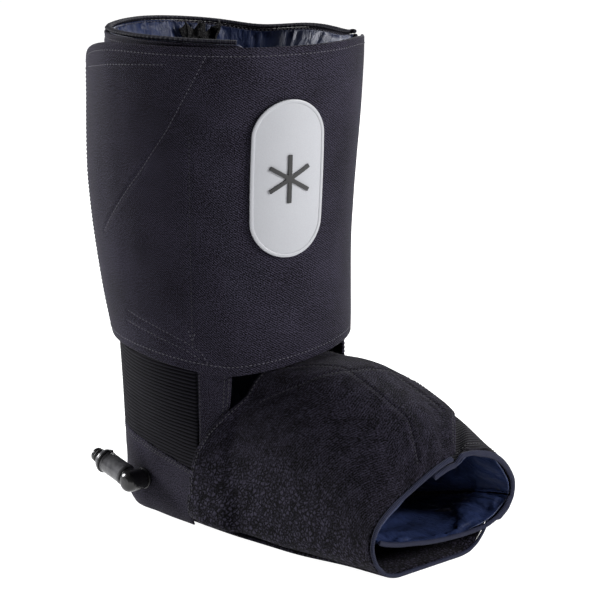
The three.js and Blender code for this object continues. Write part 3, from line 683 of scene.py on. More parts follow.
def twill_finish(colour, pitch):
    f = Finish("wrap_twill", specular_ior_level=0.04, sheen_weight=0.02, sheen_roughness=0.35)
    cloth, u, v = f.woven()
    slub = f.noise(f.cloth(0.0, (1.0, 0.25, 1.0)), 1.4, 2.0) * 0.5
    line = (u * 0.75 + v + slub).wave(pitch)
    yarn = (u - v * 0.6 + slub).wave(pitch * 0.72)
    weave = line * 0.7 + yarn * 0.3
    fleck = f.noise(cloth, 0.9, 3.0, 0.7)
    patch = f.noise(cloth, 34.0, 3.0, 0.55)
    lint = f.noise(f.cloth(0.0, (1.0, 1.0, 1.0)), 1.9, 1.0).over(0.74, 0.80)
    grain = f.noise(cloth, 0.8, 2.0, 0.6).over(0.34, 0.68)
    # The weave lines are paler on their ridges and darker in their grooves, as the bump rises and falls: painted
    # shade in the grooves. Fleck, grain, patch and lint are the cloth's own tone.
    share = (weave * 0.75 + fleck * 0.6 + grain * 0.8 - 0.74 + (patch - 0.5) * 0.6).clamped()
    tone = f.tones(share, colour, 0.1, 4.2)
    tone = f.mix(lint * 0.35, tone, paler(colour, 7.0))
    return f.done(tone, patch * 0.18 + 0.62, weave * 0.8 + fleck * 0.5, 0.22)


def loop_finish(colour, pebble):
    f = Finish("wrap_loop", specular_ior_level=0.04, sheen_weight=0.015, sheen_roughness=0.5)
    cloth, u, v = f.woven()
    warp = f.noise(cloth, 3.0, 2.0)
    bent = f.node("ShaderNodeVectorMath", {"operation": "ADD"}, {0: cloth, 1: f.noise_vector(cloth, 2.6)})
    gap = f.cells(bent, pebble, "DISTANCE_TO_EDGE").over(0.0, 0.4)
    tuft = f.cells(bent, pebble * 0.42).over(0.05, 0.75)
    field = f.noise(cloth, 11.0, 2.0).over(0.35, 0.65)
    fuzz = f.noise(cloth, 0.55, 3.0, 0.8)
    rib = (v + warp * 0.5).wave(1.6)
    near = (u * -1.0 + 48.0).over(0.0, 40.0)
    # Relief sets both the bump and the colour: pebble tops paler and the gaps between them darker, which is painted
    # shade in the gaps. Fuzz, grain and field are the cloth's own tone.
    relief = gap * (0.75 - near * 0.55) + tuft * 0.35 + rib * near * 0.3
    grain = f.noise(cloth, 1.1, 2.0, 0.6).over(0.34, 0.68)
    share = (relief * 0.95 + fuzz * 0.4 + grain * 0.45 - 0.7 + field * 0.2).clamped()
    tone = f.tones(share, colour, 0.08, 3.6)
    return f.done(tone, 0.85 - gap * 0.1, relief * 0.8 + fuzz * 0.6, 0.4)


def mesh_finish(colour, pitch):
    """Ribbed knit with open gaps between its ribs."""
    f = Finish("wrap_ribbed_mesh", specular_ior_level=0.06, sheen_weight=0.02, sheen_roughness=0.5)
    cloth, u, v = f.woven()
    slub = f.noise(cloth, 2.2, 2.0) * 0.5
    rib = (v + slub).wave(pitch)
    stitch = (u + slub + rib * 0.7).wave(pitch * 0.7)
    relief = rib * (0.55 + 0.45 * stitch)
    fuzz = f.noise(cloth, 0.6, 3.0, 0.7)
    # Rib tops paler and the hollows between the ribs darker, following the bump: painted shade between the ribs. Fuzz
    # is the knit's own tone.
    share = (relief * 0.8 + fuzz * 0.6 - 0.3).clamped()
    return f.done(f.tones(share, colour, 0.2, 2.2), relief * -0.1 + 0.85, relief + fuzz * 0.2, 0.5)


def elastic_finish(colour, pitch):
    f = Finish("wrap_elastic", specular_ior_level=0.06, sheen_weight=0.015, sheen_roughness=0.5)
    cloth, u, _ = f.woven()
    height = f.node("ShaderNodeAttribute", {"attribute_name": "rib"}, {}, "Fac")
    knit = (u + f.noise(cloth, 1.5, 2.0) * 0.5).wave(0.85)
    fuzz = f.noise(cloth, 0.5, 3.0, 0.75)
    run = f.noise(f.cloth(0.0, (0.06, 1.0, 1.0)), pitch, 1.0)
    # Rib tops paler and the grooves between them darker, from the ribs' height: painted shade in the grooves. Fuzz
    # and run are the elastic's own tone.
    share = (height * 0.7 + fuzz * 0.5 - 0.25 + (run - 0.5) * 0.35).clamped()
    return f.done(f.tones(share, colour, 0.12, 1.9), 0.9 - height * 0.15, knit * 0.4 + fuzz * 0.5, 0.16)


def lining_finish(name, colour):
    f = Finish(name, specular_ior_level=0.26, sheen_weight=0.0, sheen_roughness=0.4)
    _, u, v = f.woven()
    crease = f.noise(f.cloth(0.5, (1.0, 0.35, 1.0)), 5.0, 4.0, 0.55)
    cross = f.noise(f.cloth(-0.8, (1.0, 0.4, 1.0)), 8.0, 3.0, 0.5)
    weave = u.wave(0.7) * v.wave(0.7)
    fold = f.node("ShaderNodeMath", {"operation": "ABSOLUTE"}, {0: crease - 0.5})
    # Darker along the sharp crease lines of the crinkle bump and paler between them: painted shade along the creases.
    # Cross is the nylon's own uneven tone.
    share = (cross * 0.9 - 0.2 + fold * 0.8).clamped()
    tone = f.tones(share, colour, 0.65, 1.75)
    return f.done(tone, 0.34 + crease * 0.22, (1.0 - fold * 2.0) * 1.0 + cross * 0.6 + weave * 0.03, 1.1)


def binding_finish(name, colour):
    f = Finish(name, specular_ior_level=0.12, sheen_weight=0.02, sheen_roughness=0.4)
    cloth, u, _ = f.woven()
    cord = (u + f.noise(cloth, 2.0) * 0.3).wave(1.1)
    fuzz = f.noise(cloth, 0.7, 3.0, 0.7)
    wear = f.noise(cloth, 9.0, 2.0)
    # Cords paler and the grooves between them darker, following the bump: painted shade in the grooves and painted
    # highlight on the cords. Fuzz and wear are the tape's own tone.
    share = (cord * 0.5 + fuzz * 0.5 + (wear - 0.5) * 0.5).clamped()
    return f.done(f.tones(share, colour, 0.45, 1.35), fuzz * 0.15 + 0.6, cord + fuzz * 0.4, 0.25)


def hook_finish(colour):
    f = Finish("wrap_hook", specular_ior_level=0.3)
    cells = f.cells(f.cloth(), 1.3).over(0.1, 0.6)
    # Raised hooks paler and the ground between them darker, following the bump: painted shade between the hooks.
    tone = f.tones(cells, colour, 2.0, 0.5)
    return f.done(tone, cells * 0.3 + 0.5, 1.0 - cells, 0.5)


def thread_finish(name, colour):
    f = Finish(name, specular_ior_level=0.25, sheen_weight=0.1)
    ply = f.noise(f.solid(0.0, (1.0, 1.0, 1.0)), 0.0006, 2.0)
    tone = f.tones(ply.over(0.3, 0.7), colour, 0.55, 1.3)
    return f.done(tone, ply * 0.2 + 0.55)


def silver_finish(colour):
    f = Finish("wrap_badge_silver", metallic=0.0, specular_ior_level=0.5, coat_roughness=0.3)
    grain = f.noise(f.solid(), 0.0007, 3.0, 0.7)
    cloud = f.noise(f.solid(), 0.02, 2.0)
    share = (grain * 0.9 - 0.1 + (cloud - 0.5) * 0.3).clamped()
    tone = f.tones(share, colour, 0.86, 1.1)
    return f.done(tone, grain * 0.2 + 0.3, grain, 0.03)


def plastic_finish(name, colour, rough, grain_size=0.0011):
    f = Finish(name, specular_ior_level=0.5)
    grain = f.noise(f.solid(), grain_size, 3.0, 0.6)
    flow = f.noise(f.solid(0.4, (1.0, 1.0, 0.3)), 0.006, 2.0)
    wear = flow.over(0.55, 0.75)
    tone = f.tones(wear * 0.6 + grain * 0.3, colour, 0.85, 1.6)
    return f.done(tone, flow * 0.18 + (rough - 0.06), grain, 0.03)


def steel_finish():
    f = Finish("wrap_spring_steel", metallic=1.0)
    drawn = f.noise(f.solid(0.0, (1.0, 1.0, 6.0)), 0.001, 2.0)
    return f.done(f.mix(drawn, (0.42, 0.42, 0.43), (0.62, 0.62, 0.63)), drawn * 0.2 + 0.2, drawn, 0.01)


def floor_finish(colour):
    f = Finish("studio_floor", specular_ior_level=0.0, emission_strength=1.0)
    f.shader.inputs["Emission Color"].default_value = (1.0, 1.0, 1.0, 1.0)
    grain = f.noise(f.solid(), 0.4, 2.0)
    return f.done(f.mix(grain, paler(colour, 0.99), colour), grain * 0.05 + 0.75)


# ---------------------------------------------------------------- places of the panels
def leg_panel(start, end, low, high, outer, inner):
    def place(u, v, w):
        deg = lerp(start, end, u)
        z = lerp(low(deg), high(deg), v)
        return leg_point(deg, z, lerp(inner(deg, z), outer(deg, z), w))

    def path(corners):
        """A path of (direction, height) as shares of the panel."""
        deg, z = np.array([np.interp(np.linspace(0, len(c) - 1, 60), range(len(c)), c) for c in zip(*corners)])
        return np.stack([(deg - start) / (end - start), (z - low(deg)) / (high(deg) - low(deg))], -1)

    return place, path


def heel_panel(start, end, low, high, outer, inner):
    def place(u, v, w):
        s = lerp(start, end, u)
        z = lerp(low(s), high(s), v)
        return heel_point(s, z + 0 * s, lerp(inner, outer, w))

    return place


def cup_place(u, z):
    reach = 0.5 + SIDE_RUN * ((along(REAR_EDGE, z) - 1.5 - HEEL_X) / (SEAM_X - HEEL_X))
    reach = np.minimum(reach, SIDE_SEAM)
    return lerp(reach, -reach, u)


def heel_cup(u, v, w):
    s = cup_place(u, v * RIB_FRONT)
    z = v * (rib_low(s) - CLEAR)
    return heel_point(cup_place(u, np.minimum(z, RIB_FRONT)), z, lerp(FABRIC, 0, w))


def ankle_panel(side):
    seam = SIDE_SEAM + 0.006

    def place(u, v, w):
        z = lerp(RIB_FRONT + 4, LEG_BOTTOM - CLEAR, v)
        front = lerp(seam + 0.008, 1.0, np.clip((z - RIB_FRONT - 6) / (ANKLE_FULL - 24 - RIB_FRONT), 0, 1))
        t = lerp(front, seam, 1 - u if side < 0 else u)
        return heel_point(side * t, z, lerp(FABRIC, 0, w))

    return place


def foot_panel(start, end, outer, inner, setback, end_x, rear=REAR_EDGE, tube=False):
    spot = foot_place(start, end, setback, end_x, rear)

    def place(u, v, w):
        x, angle = spot(u, v)
        return foot_point(x, angle, lerp(inner(angle, x), outer(angle, x), w), tube)

    return place


def lip(start, end, outer, inner, x, tube=False):
    """A tape over the edge at the toe opening."""

    def place(u, v, w):
        angle = lerp(start, end, u)
        return foot_point(x + v * BINDING, angle, lerp(inner(angle), outer(angle), w), tube)

    return place


def wrinkles(amount, size, seed):
    return lambda points: amount * crumple(points, size, seed)


# ---------------------------------------------------------------- sizes and colours
def length(name, description, default):
    return bpy.props.FloatProperty(name=name, description=description, default=default, min=0, unit="LENGTH")


def colour(name, description, default):
    return bpy.props.FloatVectorProperty(
        name=name, description=description, default=default, size=3, min=0, max=1, subtype="COLOR"
    )


class WRAP_PG_sizes(bpy.types.PropertyGroup):
    twill_pitch: length("Twill pitch", "Distance between the diagonal lines of the shell fabric", 0.0015)
    rib_pitch: length("Rib pitch", "Distance between the ribs of the elastic panel", 0.0024)
    rib_depth: length("Rib depth", "How far the ribs of the elastic stand out", 0.0009)
    pebble: length("Pebble", "Size of the pebbles of the loop fabric", 0.0029)
    stitch_pitch: length("Stitch pitch", "Distance between stitches", 0.0027)
    stitch_length: length("Stitch length", "Half-length of a stitch", 0.00085)
    thread: length("Thread", "Radius of the sewing thread", 0.00034)
    pucker: length("Pucker", "Depth of the lining's puckers below the rim", 0.0011)
    badge_rim: length("Badge rim", "Width of the badge's raised rim", 0.0018)


class WRAP_PG_colours(bpy.types.PropertyGroup):
    twill: colour("Twill", "Shell fabric", (0.0115, 0.0105, 0.0165))
    loop: colour("Loop fabric", "Instep flap", (0.0110, 0.0100, 0.0160))
    mesh: colour("Ribbed mesh", "Far foot flap", (0.0090, 0.0085, 0.0120))
    elastic: colour("Elastic", "Ribbed panel round the ankle", (0.0058, 0.0054, 0.0085))
    lining: colour("Lining", "Nylon of the water chambers", (0.0120, 0.0200, 0.0600))
    binding: colour("Binding", "Tape round the toe opening", (0.0130, 0.0150, 0.0330))
    rim: colour("Rim tape", "Tape round the calf opening", (0.0080, 0.0078, 0.0140))
    hook: colour("Hook", "Hook patches", (0.0060, 0.0060, 0.0070))
    thread: colour("Thread", "Visible stitches", (0.0620, 0.0600, 0.0780))
    dark_thread: colour("Dark thread", "Stitches of the seams", (0.0200, 0.0190, 0.0260))
    silver: colour("Badge", "Badge plate", (0.3600, 0.3680, 0.3950))
    black: colour("Black plastic", "Elbow, clip and nozzle", (0.0090, 0.0090, 0.0100))
    grey: colour("Grey plastic", "Sleeve of the coupling", (0.0800, 0.0800, 0.0860))
    seal: colour("Seal", "Rubber rings", (0.0120, 0.0120, 0.0120))
    floor: colour("Floor", "Studio floor", (0.3500, 0.3500, 0.3500))


FINISHES = {}
SHEETS = {}


def finishes():
    """The finish of each material slot, made once."""
    if FINISHES:
        return FINISHES
    sizes, tint = bpy.context.scene.wrap_sizes, bpy.context.scene.wrap_colours
    FINISHES.update(
        twill=twill_finish(tint.twill[:], sizes.twill_pitch / MM),
        loop_fabric=loop_finish(tint.loop[:], sizes.pebble / MM),
        ribbed_mesh=mesh_finish(tint.mesh[:], 2.0),
        ribbed_elastic=elastic_finish(tint.elastic[:], sizes.rib_pitch / MM),
        lining=lining_finish("wrap_lining", tint.lining[:]),
        # A copy of the lining at about a sixth of its colour, for the heel chamber: painted shade in the gap behind
        # the closure and instep flaps.
        dark_lining=lining_finish("wrap_dark_lining", paler(tint.lining[:], 0.16)),
        binding=binding_finish("wrap_binding", tint.binding[:]),
        rim=binding_finish("wrap_rim_tape", tint.rim[:]),
        hook=hook_finish(tint.hook[:]),
        thread=thread_finish("wrap_thread", tint.thread[:]),
        dark_thread=thread_finish("wrap_dark_thread", tint.dark_thread[:]),
        badge_silver=silver_finish(tint.silver[:]),
        badge_black=plastic_finish("wrap_badge_black", tint.black[:], 0.45),
        black_plastic=plastic_finish("wrap_black_plastic", tint.black[:], 0.2),
        grey_plastic=plastic_finish("wrap_grey_plastic", tint.grey[:], 0.24),
        seal=plastic_finish("wrap_seal", tint.seal[:], 0.5),
        spring_steel=steel_finish(),
    )
    return FINISHES


def cloth_piece(name, body, slot, place, cells, thick, flat=None, finish=None, **how):
    """Builds one panel, which rides on a body and replaces the CAD node of its name."""
    sheet = Sheet(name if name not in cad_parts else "fabric_" + name, place, cells, thick, **how)
    made = sheet.build(finishes()[finish or slot])
    SHEETS[name] = sheet
    settle(made, body, slot, name)
    return made


def settle(made, body, slot, *nodes):
    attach(made, body)
    known = [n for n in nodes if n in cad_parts]
    if known:
        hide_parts(*known)


def stitching(name, body, sheet, paths, pale=True, flatness=0.8):
    """Rows of stitches along paths on one sheet, in the pale or the dark thread."""
    sizes = bpy.context.scene.wrap_sizes
    size = (sizes.stitch_length / MM, sizes.thread / MM, sizes.thread / MM * flatness)
    made = sew(name, sheet, paths, sizes.stitch_pitch / MM, finishes()["thread" if pale else "dark_thread"], size)
    settle(made, body, "binding")


def line(*corners):
    """A path of (u, v) through corners, evenly filled."""
    at = np.linspace(0, len(corners) - 1, 80)
    return np.stack([np.interp(at, range(len(corners)), c) for c in zip(*corners)], -1)


def inset_row(sheet, side, inset, start=0.0, end=1.0):
    """A row that keeps an inset in millimetres from one side of a panel."""
    t = np.linspace(start, end, 80)
    across = inset / sheet.width
    up = inset / sheet.height
    return {
        "top": np.stack([t, 1 - up + 0 * t], -1),
        "bottom": np.stack([t, up + 0 * t], -1),
        "left": np.stack([across + 0 * t, t], -1),
        "right": np.stack([1 - across + 0 * t, t], -1),
    }[side]


class WrapOperator:
    bl_options = {"REGISTER", "UNDO"}


class WRAP_OT_leg(WrapOperator, bpy.types.Operator):
    """Shell of the leg tube, its near wing and the closure flap, with their stitching"""

    bl_idname = "wrap.leg"
    bl_label = "Leg shell and closure flap"

    def execute(self, context):
        place, _ = leg_panel(
            FRONT_SEAM + SEAM_GAP, BACK_SEAM - SEAM_GAP, fixed(LEG_BOTTOM), shell_top, fixed(0.0), fixed(FABRIC)
        )
        cloth_piece("leg_shell", "boot", "twill", place, (90, 84), FABRIC, (0.215, 0.195),
                    relief=wrinkles(0.5, (40, 40, 60), 1))
        place, path = leg_panel(WING_START, WING_END, fixed(LEG_BOTTOM), wing_top, fixed(0.0), fixed(FABRIC))
        rim_rows = [path([(WING_START + 1, 306.5), (WING_END - WING_CORNER, 308)])]
        cloth_piece("near_wing", "wing", "twill", place, (70, 84), FABRIC, (0.16, 0.198), seams=rim_rows)
        place, path = leg_panel(
            CLOSURE_END,
            FRONT_SEAM - SEAM_GAP,
            closure_bottom,
            closure_top,
            closure_outer,
            lambda deg, z: -closure_standoff(deg, z),
        )
        diagonal = path([(-55.5, 305), (-62.2, 286.7), (-73.2, 258.4), (-85.9, 232.1), (-100, 207.5), (-112, 188)])
        upright = path([(-63.6, 254), (-63.8, 204), (-64, 154), (-64.1, 124)])
        rows = [
            path([(-99.4, 140), (-86.7, 135), (-76.4, 130.2), (-67.2, 125.3), (-59.7, 119), (-57, 113)]),
            path([(-101, 133.3), (-86.8, 128.7), (-76.4, 124.5), (-67.2, 120.3), (-60, 114.6)]),
            path([(-124, 289), (-103.5, 294.4), (-90, 296.2), (-73, 297.9)]),
            path([(-65.8, 132.4), (-64.2, 126.3), (-62.4, 132.8)]),
        ]
        folds = lambda points: 0.55 * crumple(points, (38, 38, 75), 2) + 0.22 * crumple(points, (14, 14, 22), 5)
        cloth_piece(
            "closure_flap", "closure", "twill", place, (150, 110), FABRIC, (0.285, 0.205, 0.0555), relief=folds,
            seams=[diagonal, upright, *rows],
        )
        sheet = SHEETS["closure_flap"]
        edge_rows = [
            inset_row(sheet, "top", 5.2, 0.03, 0.99),
            inset_row(sheet, "bottom", 6.0, 0.03, 0.92),
            inset_row(sheet, "left", 6.0, 0.03, 0.97),
        ]
        stitching("stitching_closure", "closure", sheet, [diagonal, *rows, *edge_rows])
        stitching("stitching_closure_dark", "closure", sheet, [upright], pale=False)
        stitching("stitching_wing", "wing", SHEETS["near_wing"], rim_rows)
        shell = SHEETS["leg_shell"]
        shell_rows = [inset_row(shell, "left", 4.0), inset_row(shell, "top", 4.5), inset_row(shell, "bottom", 5.0)]
        stitching("stitching_shell", "boot", shell, shell_rows)
        return {"FINISHED"}


class WRAP_OT_leg_lining(WrapOperator, bpy.types.Operator):
    """Water chambers of the calf, with the puckered nylon below the rim"""

    bl_idname = "wrap.leg_lining"
    bl_label = "Calf chambers"

    def execute(self, context):
        pucker = context.scene.wrap_sizes.pucker / MM
        low = CLOSURE_LOW + CLOSURE_SWEEP + 6
        rounds = {
            "calf_chamber_back": ("boot", FRONT_SEAM + 2 * SEAM_GAP, BACK_SEAM - 2 * SEAM_GAP, fixed(LEG_BOTTOM + 5),
                                  shell_top, fixed(CHAMBER_OUT)),
            "calf_chamber_near": ("wing", WING_START + SEAM_GAP, WING_END - 3, fixed(LEG_BOTTOM + 5),
                                  wing_top, fixed(CHAMBER_OUT)),
            "calf_chamber_front": ("closure", WING_END + 5, FRONT_SEAM - 2 * SEAM_GAP, fixed(low),
                                   lambda deg: closure_top(deg) - 3,
                                   lambda deg, z: 2 * CLEAR - closure_standoff(deg, z)),
        }
        for seed, (name, (body, start, end, base, top, outer)) in enumerate(rounds.items()):

            def inner(deg, z, top=top, outer=outer, seed=seed):
                """The chamber is thin at its top edge and puckered below it."""
                below = top(deg) - z
                full = smooth(below / 16)
                fold = np.sin(np.radians(deg) * 34 + 2.2 * np.sin(deg * 0.31 + seed) + 0.05 * below)
                fold = fold * np.exp(-below / 26) * smooth(below / 3)
                channel = np.exp(-(((below - 44) / 3.2) ** 2)) + np.exp(-(((below - 104) / 3.2) ** 2))
                depth = lerp(CHAMBER_OUT + 1.4, CHAMBER_IN, full) + pucker * fold - 2.4 * channel
                return np.maximum(depth, outer(deg, z) + 0.8)

            place, _ = leg_panel(start, end, base, top, outer, inner)
            made = cloth_piece(name, body, "lining", place, (170 if seed == 0 else 110, 96), 2.2)
            inflate(made)
        return {"FINISHED"}


def inflate(made):
    """Fills a chamber: cloth under pressure, a little larger than its cut, so that it crinkles between its seams."""
    mesh = made.data
    before = np.array([v.co for v in mesh.vertices])
    held = made.vertex_groups.new(name="held")
    cloth = np.zeros(len(before) * 3, np.float32)
    mesh.attributes["cloth"].data.foreach_get("vector", cloth)
    cloth = cloth.reshape(-1, 3)
    u_low, u_high = cloth[:, 0].min(), cloth[:, 0].max()
    v_low, v_high = cloth[:, 1].min(), cloth[:, 1].max()
    near = nearest(cloth[:, 0] - u_low, u_high - cloth[:, 0], cloth[:, 1] - v_low, v_high - cloth[:, 1])
    held.add(np.nonzero(near < 2.0)[0].tolist(), 1.0, "REPLACE")
    modifier = made.modifiers.new("fill", "CLOTH")
    settings = modifier.settings
    settings.quality = 4
    settings.mass = 0.15
    settings.tension_stiffness = 12
    settings.compression_stiffness = 12
    settings.bending_stiffness = 0.05
    settings.use_pressure = True
    settings.uniform_pressure_force = 2.0
    settings.shrink_min = -0.07
    settings.vertex_group_mass = held.name
    settings.effector_weights.gravity = 0
    modifier.collision_settings.use_collision = False
    scene = bpy.context.scene
    for number in range(1, 13):
        scene.frame_set(number)
    shown = made.evaluated_get(bpy.context.evaluated_depsgraph_get())
    after = np.array([v.co for v in shown.data.vertices])
    made.modifiers.remove(modifier)
    made.vertex_groups.remove(held)
    scene.frame_set(1)
    move = after - before
    far = np.linalg.norm(move, axis=1, keepdims=True)
    most = 1.6 * MM
    move *= most * np.tanh(far / most) / np.maximum(far, 1e-9)
    mesh.vertices.foreach_set("co", (before + move).astype(np.float32).ravel())
    mesh.update()


class WRAP_OT_rim(WrapOperator, bpy.types.Operator):
    """Tapes round the calf opening, and the crumpled pull tab"""

    bl_idname = "wrap.rim"
    bl_label = "Rim tapes and pull tab"

    def execute(self, context):
        deep = fixed(CHAMBER_OUT + FABRIC)
        for name, body, start, end in (
            ("rim_binding_back", "boot", FRONT_SEAM + SEAM_GAP, BACK_SEAM - SEAM_GAP),
            ("rim_binding_wing", "wing", WING_START, WING_END - WING_CORNER - 1),
        ):
            low = lambda deg: rim_top(deg) - BINDING - 0.6
            place, _ = leg_panel(start, end, low, rim_top, fixed(0.2), deep)
            cloth_piece(name, body, "binding", place, (260, 5), 2.6, finish="rim", relief=rim_puckers)
            rim_stitches(name, body, start, end)
        cloth_piece("pull_tab", "boot", "hook", crumpled_tab, (110, 36), 1.4, (0.058, 0.018))
        return {"FINISHED"}


def crumpled_tab(u, v, w):
    """A webbing loop gathered into uneven folds against the lining."""
    fold = u * 7 * np.pi
    deg = 152 + 21 * (u - 0.5) + 1.1 * np.sin(2 * fold + v) + 1.3 * np.sin(v * 5 + u * 9)
    depth = CHAMBER_IN + 2.6 - w * 1.3 + (1.9 + 1.1 * np.sin(u * 11 + 1)) * np.sin(fold + 0.9 * np.sin(v * 4 + u * 5))
    top = RIM_HEIGHT - 6 + 3.2 * np.sin(u * 15 + 0.6) + 1.6 * np.sin(u * 37)
    z = lerp(RIM_HEIGHT - 21 + 2 * np.sin(u * 12), top, v)
    return leg_point(deg, z, depth)


def rim_puckers(points):
    """Each stitch of the rim pulls its tape in, so the edge looks roped."""
    turn = np.arctan2(points[:, 1], points[:, 0])
    return 0.28 * np.sin(turn * RIM_RADIUS * 2 * np.pi / 3.4) + 0.3 * crumple(points, 7, 3)


def rim_stitches(name, body, start, end):
    """The row of stitches that shows on the inside of the rim."""
    place, _ = leg_panel(
        end, start, lambda deg: rim_top(deg) - 5.4, lambda deg: rim_top(deg) - 3.0,
        fixed(CHAMBER_OUT + FABRIC - 0.2), fixed(CHAMBER_OUT),
    )
    inside = Sheet("inside_" + name, place, (80, 4), 1.0)
    stitching("stitching_inside_" + name, body, inside, [line((0.01, 0.7), (0.99, 0.7))], flatness=1)


class WRAP_OT_heel(WrapOperator, bpy.types.Operator):
    """Ribbed elastic, side panels of the ankle, heel cup and its chamber"""

    bl_idname = "wrap.heel"
    bl_label = "Heel and ankle"

    def execute(self, context):
        scene = context.scene
        sizes = scene.wrap_sizes
        pitch, depth = sizes.rib_pitch / MM, sizes.rib_depth / MM
        place = heel_panel(SIDE_SEAM, -SIDE_SEAM, rib_low, fixed(LEG_BOTTOM - CLEAR), 0.0, FABRIC)

        ribs = lambda points: depth * (rib_height(points, pitch) ** 0.7 - 0.75)
        made = cloth_piece("ribbed_elastic_panel", "boot", "ribbed_elastic", place, (110, 190), FABRIC,
                           (0.235, 0.06, 0.0135), relief=ribs)
        rib_attribute(made, pitch)
        for name, side in (("near_ankle_panel", -1), ("far_ankle_panel", 1)):
            place = ankle_panel(side)
            cloth_piece(name, "boot", "twill", place, (26, 50), FABRIC, (0.03, 0.072, 0.0012),
                        relief=wrinkles(0.4, 18, 7))
            sheet = SHEETS[name]
            front = "right" if side < 0 else "left"
            other = "left" if side < 0 else "right"
            rows = [inset_row(sheet, front, 1.6, 0.3, 0.99), inset_row(sheet, front, 4.2, 0.5, 0.99),
                    inset_row(sheet, other, 1.4, 0.08, 0.99)]
            stitching("stitching_" + name, "boot", sheet, rows, pale=False)
        cloth_piece("heel_cup", "boot", "twill", heel_cup, (110, 34), FABRIC, (0.24, 0.052, 0.0115),
                    relief=wrinkles(0.5, (22, 22, 16), 8))
        cup = SHEETS["heel_cup"]
        rows = [inset_row(cup, "top", inset) for inset in (2.2, 4.8)]
        stitching("stitching_heel", "boot", cup, rows, pale=False)
        place = heel_panel(SIDE_SEAM - 0.05, 0.05 - SIDE_SEAM, fixed(HEEL_ROUND + 5), fixed(LEG_BOTTOM - 4),
                           CHAMBER_OUT + CLEAR, CHAMBER_IN)
        # The heel chamber wears the darkened copy of the lining: painted shade where it shows between the flaps.
        made = cloth_piece("heel_chamber", "boot", "lining", place, (90, 40), 2.4, finish="dark_lining")
        return {"FINISHED"}


def rib_height(points, pitch):
    """Height of the ribs from 0 to 1. They slope down towards the front as the panel does, and wander a little."""
    phase = (points[:, 2] + points[:, 0] * RIB_SLOPE + 0.5 * crumple(points, (18, 18, 12), 6)) / pitch
    return 0.5 + 0.5 * np.cos(2 * np.pi * phase)


def rib_attribute(made, pitch):
    """Height of the ribs at each point, for the finish."""
    points = np.array([v.co for v in made.data.vertices]) / MM
    attribute = made.data.attributes.new("rib", "FLOAT", "POINT")
    attribute.data.foreach_set("value", rib_height(points, pitch).astype(np.float32))


class WRAP_OT_foot(WrapOperator, bpy.types.Operator):
    """Instep flap, far flap and sole, with their stitching"""

    bl_idname = "wrap.foot"
    bl_label = "Foot flaps and sole"

    def execute(self, context):
        plain = foot_panel(tab_angle, fixed(FLAP_FOOT), tab_rise, lambda angle, x: tab_rise(angle, x) + FABRIC,
                           0, FLAP_END_X, FLAP_REAR)

        def place(u, v, w):
            face = plain(u, v, 1.0 + 0 * w)
            lapped = beside_ankle(face)
            tucked = 5.5 * smooth((34 - face[:, 0]) / 20) * smooth((18 - face[:, 2]) / 18)
            lapped[:, 1] += tucked
            return lapped + plain(u, v, w) - face

        folds = lambda points: 0.7 * crumple(points, (45, 30, 30), 9) + 0.25 * crumple(points, (15, 12, 12), 10)
        patch = [line((0.20, 0.02), (0.24, 0.45), (0.26, 0.96)), line((0.235, 0.40), (0.12, 0.46), (0.01, 0.52)),
                 line((0.235, 0.40), (0.34, 0.28), (0.40, 0.12)), line((0.12, 0.04), (0.10, 0.5), (0.06, 0.8))]
        cloth_piece("instep_flap", "instep", "loop_fabric", place, (150, 90), FABRIC, (0.2, 0.145, 0.0235),
                    relief=folds, seams=patch, seam_depth=0.6)
        flap = SHEETS["instep_flap"]
        rows = [inset_row(flap, "bottom", 3.0, 0.0, 0.97), inset_row(flap, "left", 3.4, 0.03, 0.97)]
        stitching("stitching_instep", "instep", flap, rows, pale=False)
        stitching("stitching_instep_seams", "instep", flap, patch, pale=False)
        deep = lambda angle, x: far_dive(angle, x) + FABRIC
        place = foot_panel(far_foot, far_edge, far_dive, deep, FAR_SETBACK, FLAP_END_X, tube=True)
        cloth_piece("far_foot_flap", "far_wrap", "ribbed_mesh", place, (120, 90), FABRIC, (0.17, 0.145, 0.0205),
                    relief=wrinkles(0.5, (40, 30, 30), 11))
        far = SHEETS["far_foot_flap"]
        rows = [inset_row(far, "bottom", 3.0), inset_row(far, "top", 4.0)]
        stitching("stitching_far", "far_wrap", far, rows, pale=False)
        cloth_piece("sole_panel", "boot", "loop_fabric", sole_place, (110, 60), FABRIC, (0.244, 0.108, 0.0225))
        return {"FINISHED"}


def sole_place(u, v, w):
    """The sole from heel to toe, across from the far side to the near one. It faces down."""
    x = lerp(HEEL_X - SOLE_HEEL_RADIUS, FLAP_END_X, u)
    half, middle, *_ = station(x)
    round_heel = np.sqrt(np.maximum(SOLE_HEEL_RADIUS**2 - np.minimum(x - HEEL_X, 0) ** 2, 0.4))
    front = smooth((x - HEEL_X) / (INSTEP_X - HEEL_X))
    reach = lerp(round_heel, SOLE_SHARE * half, front)
    toe = smooth((x - TOE_START) / (TOE_X - TOE_START))
    ends = lerp(1 - (1 - SOLE_TOE_FAR / SOLE_SHARE) * toe, -lerp(1, SOLE_TOE_NEAR / SOLE_SHARE, toe), v)
    y = front * middle + ends * reach
    return np.stack([x + 0 * y, y, sole_curl(x, y) + FABRIC * (1 - w)], -1)


def sole_curl(x, y):
    """The sole's toe end curls up as a sling at its far side, and a little at its near side."""
    toe = smooth((x - TOE_START) / 62)
    far = 13 * np.clip((y - 14) / 28.6, 0, 1.08) ** 3
    near = 3.8 * np.clip((-y - 36) / 15.6, 0, 1.2) ** 2
    return toe * (far + near)


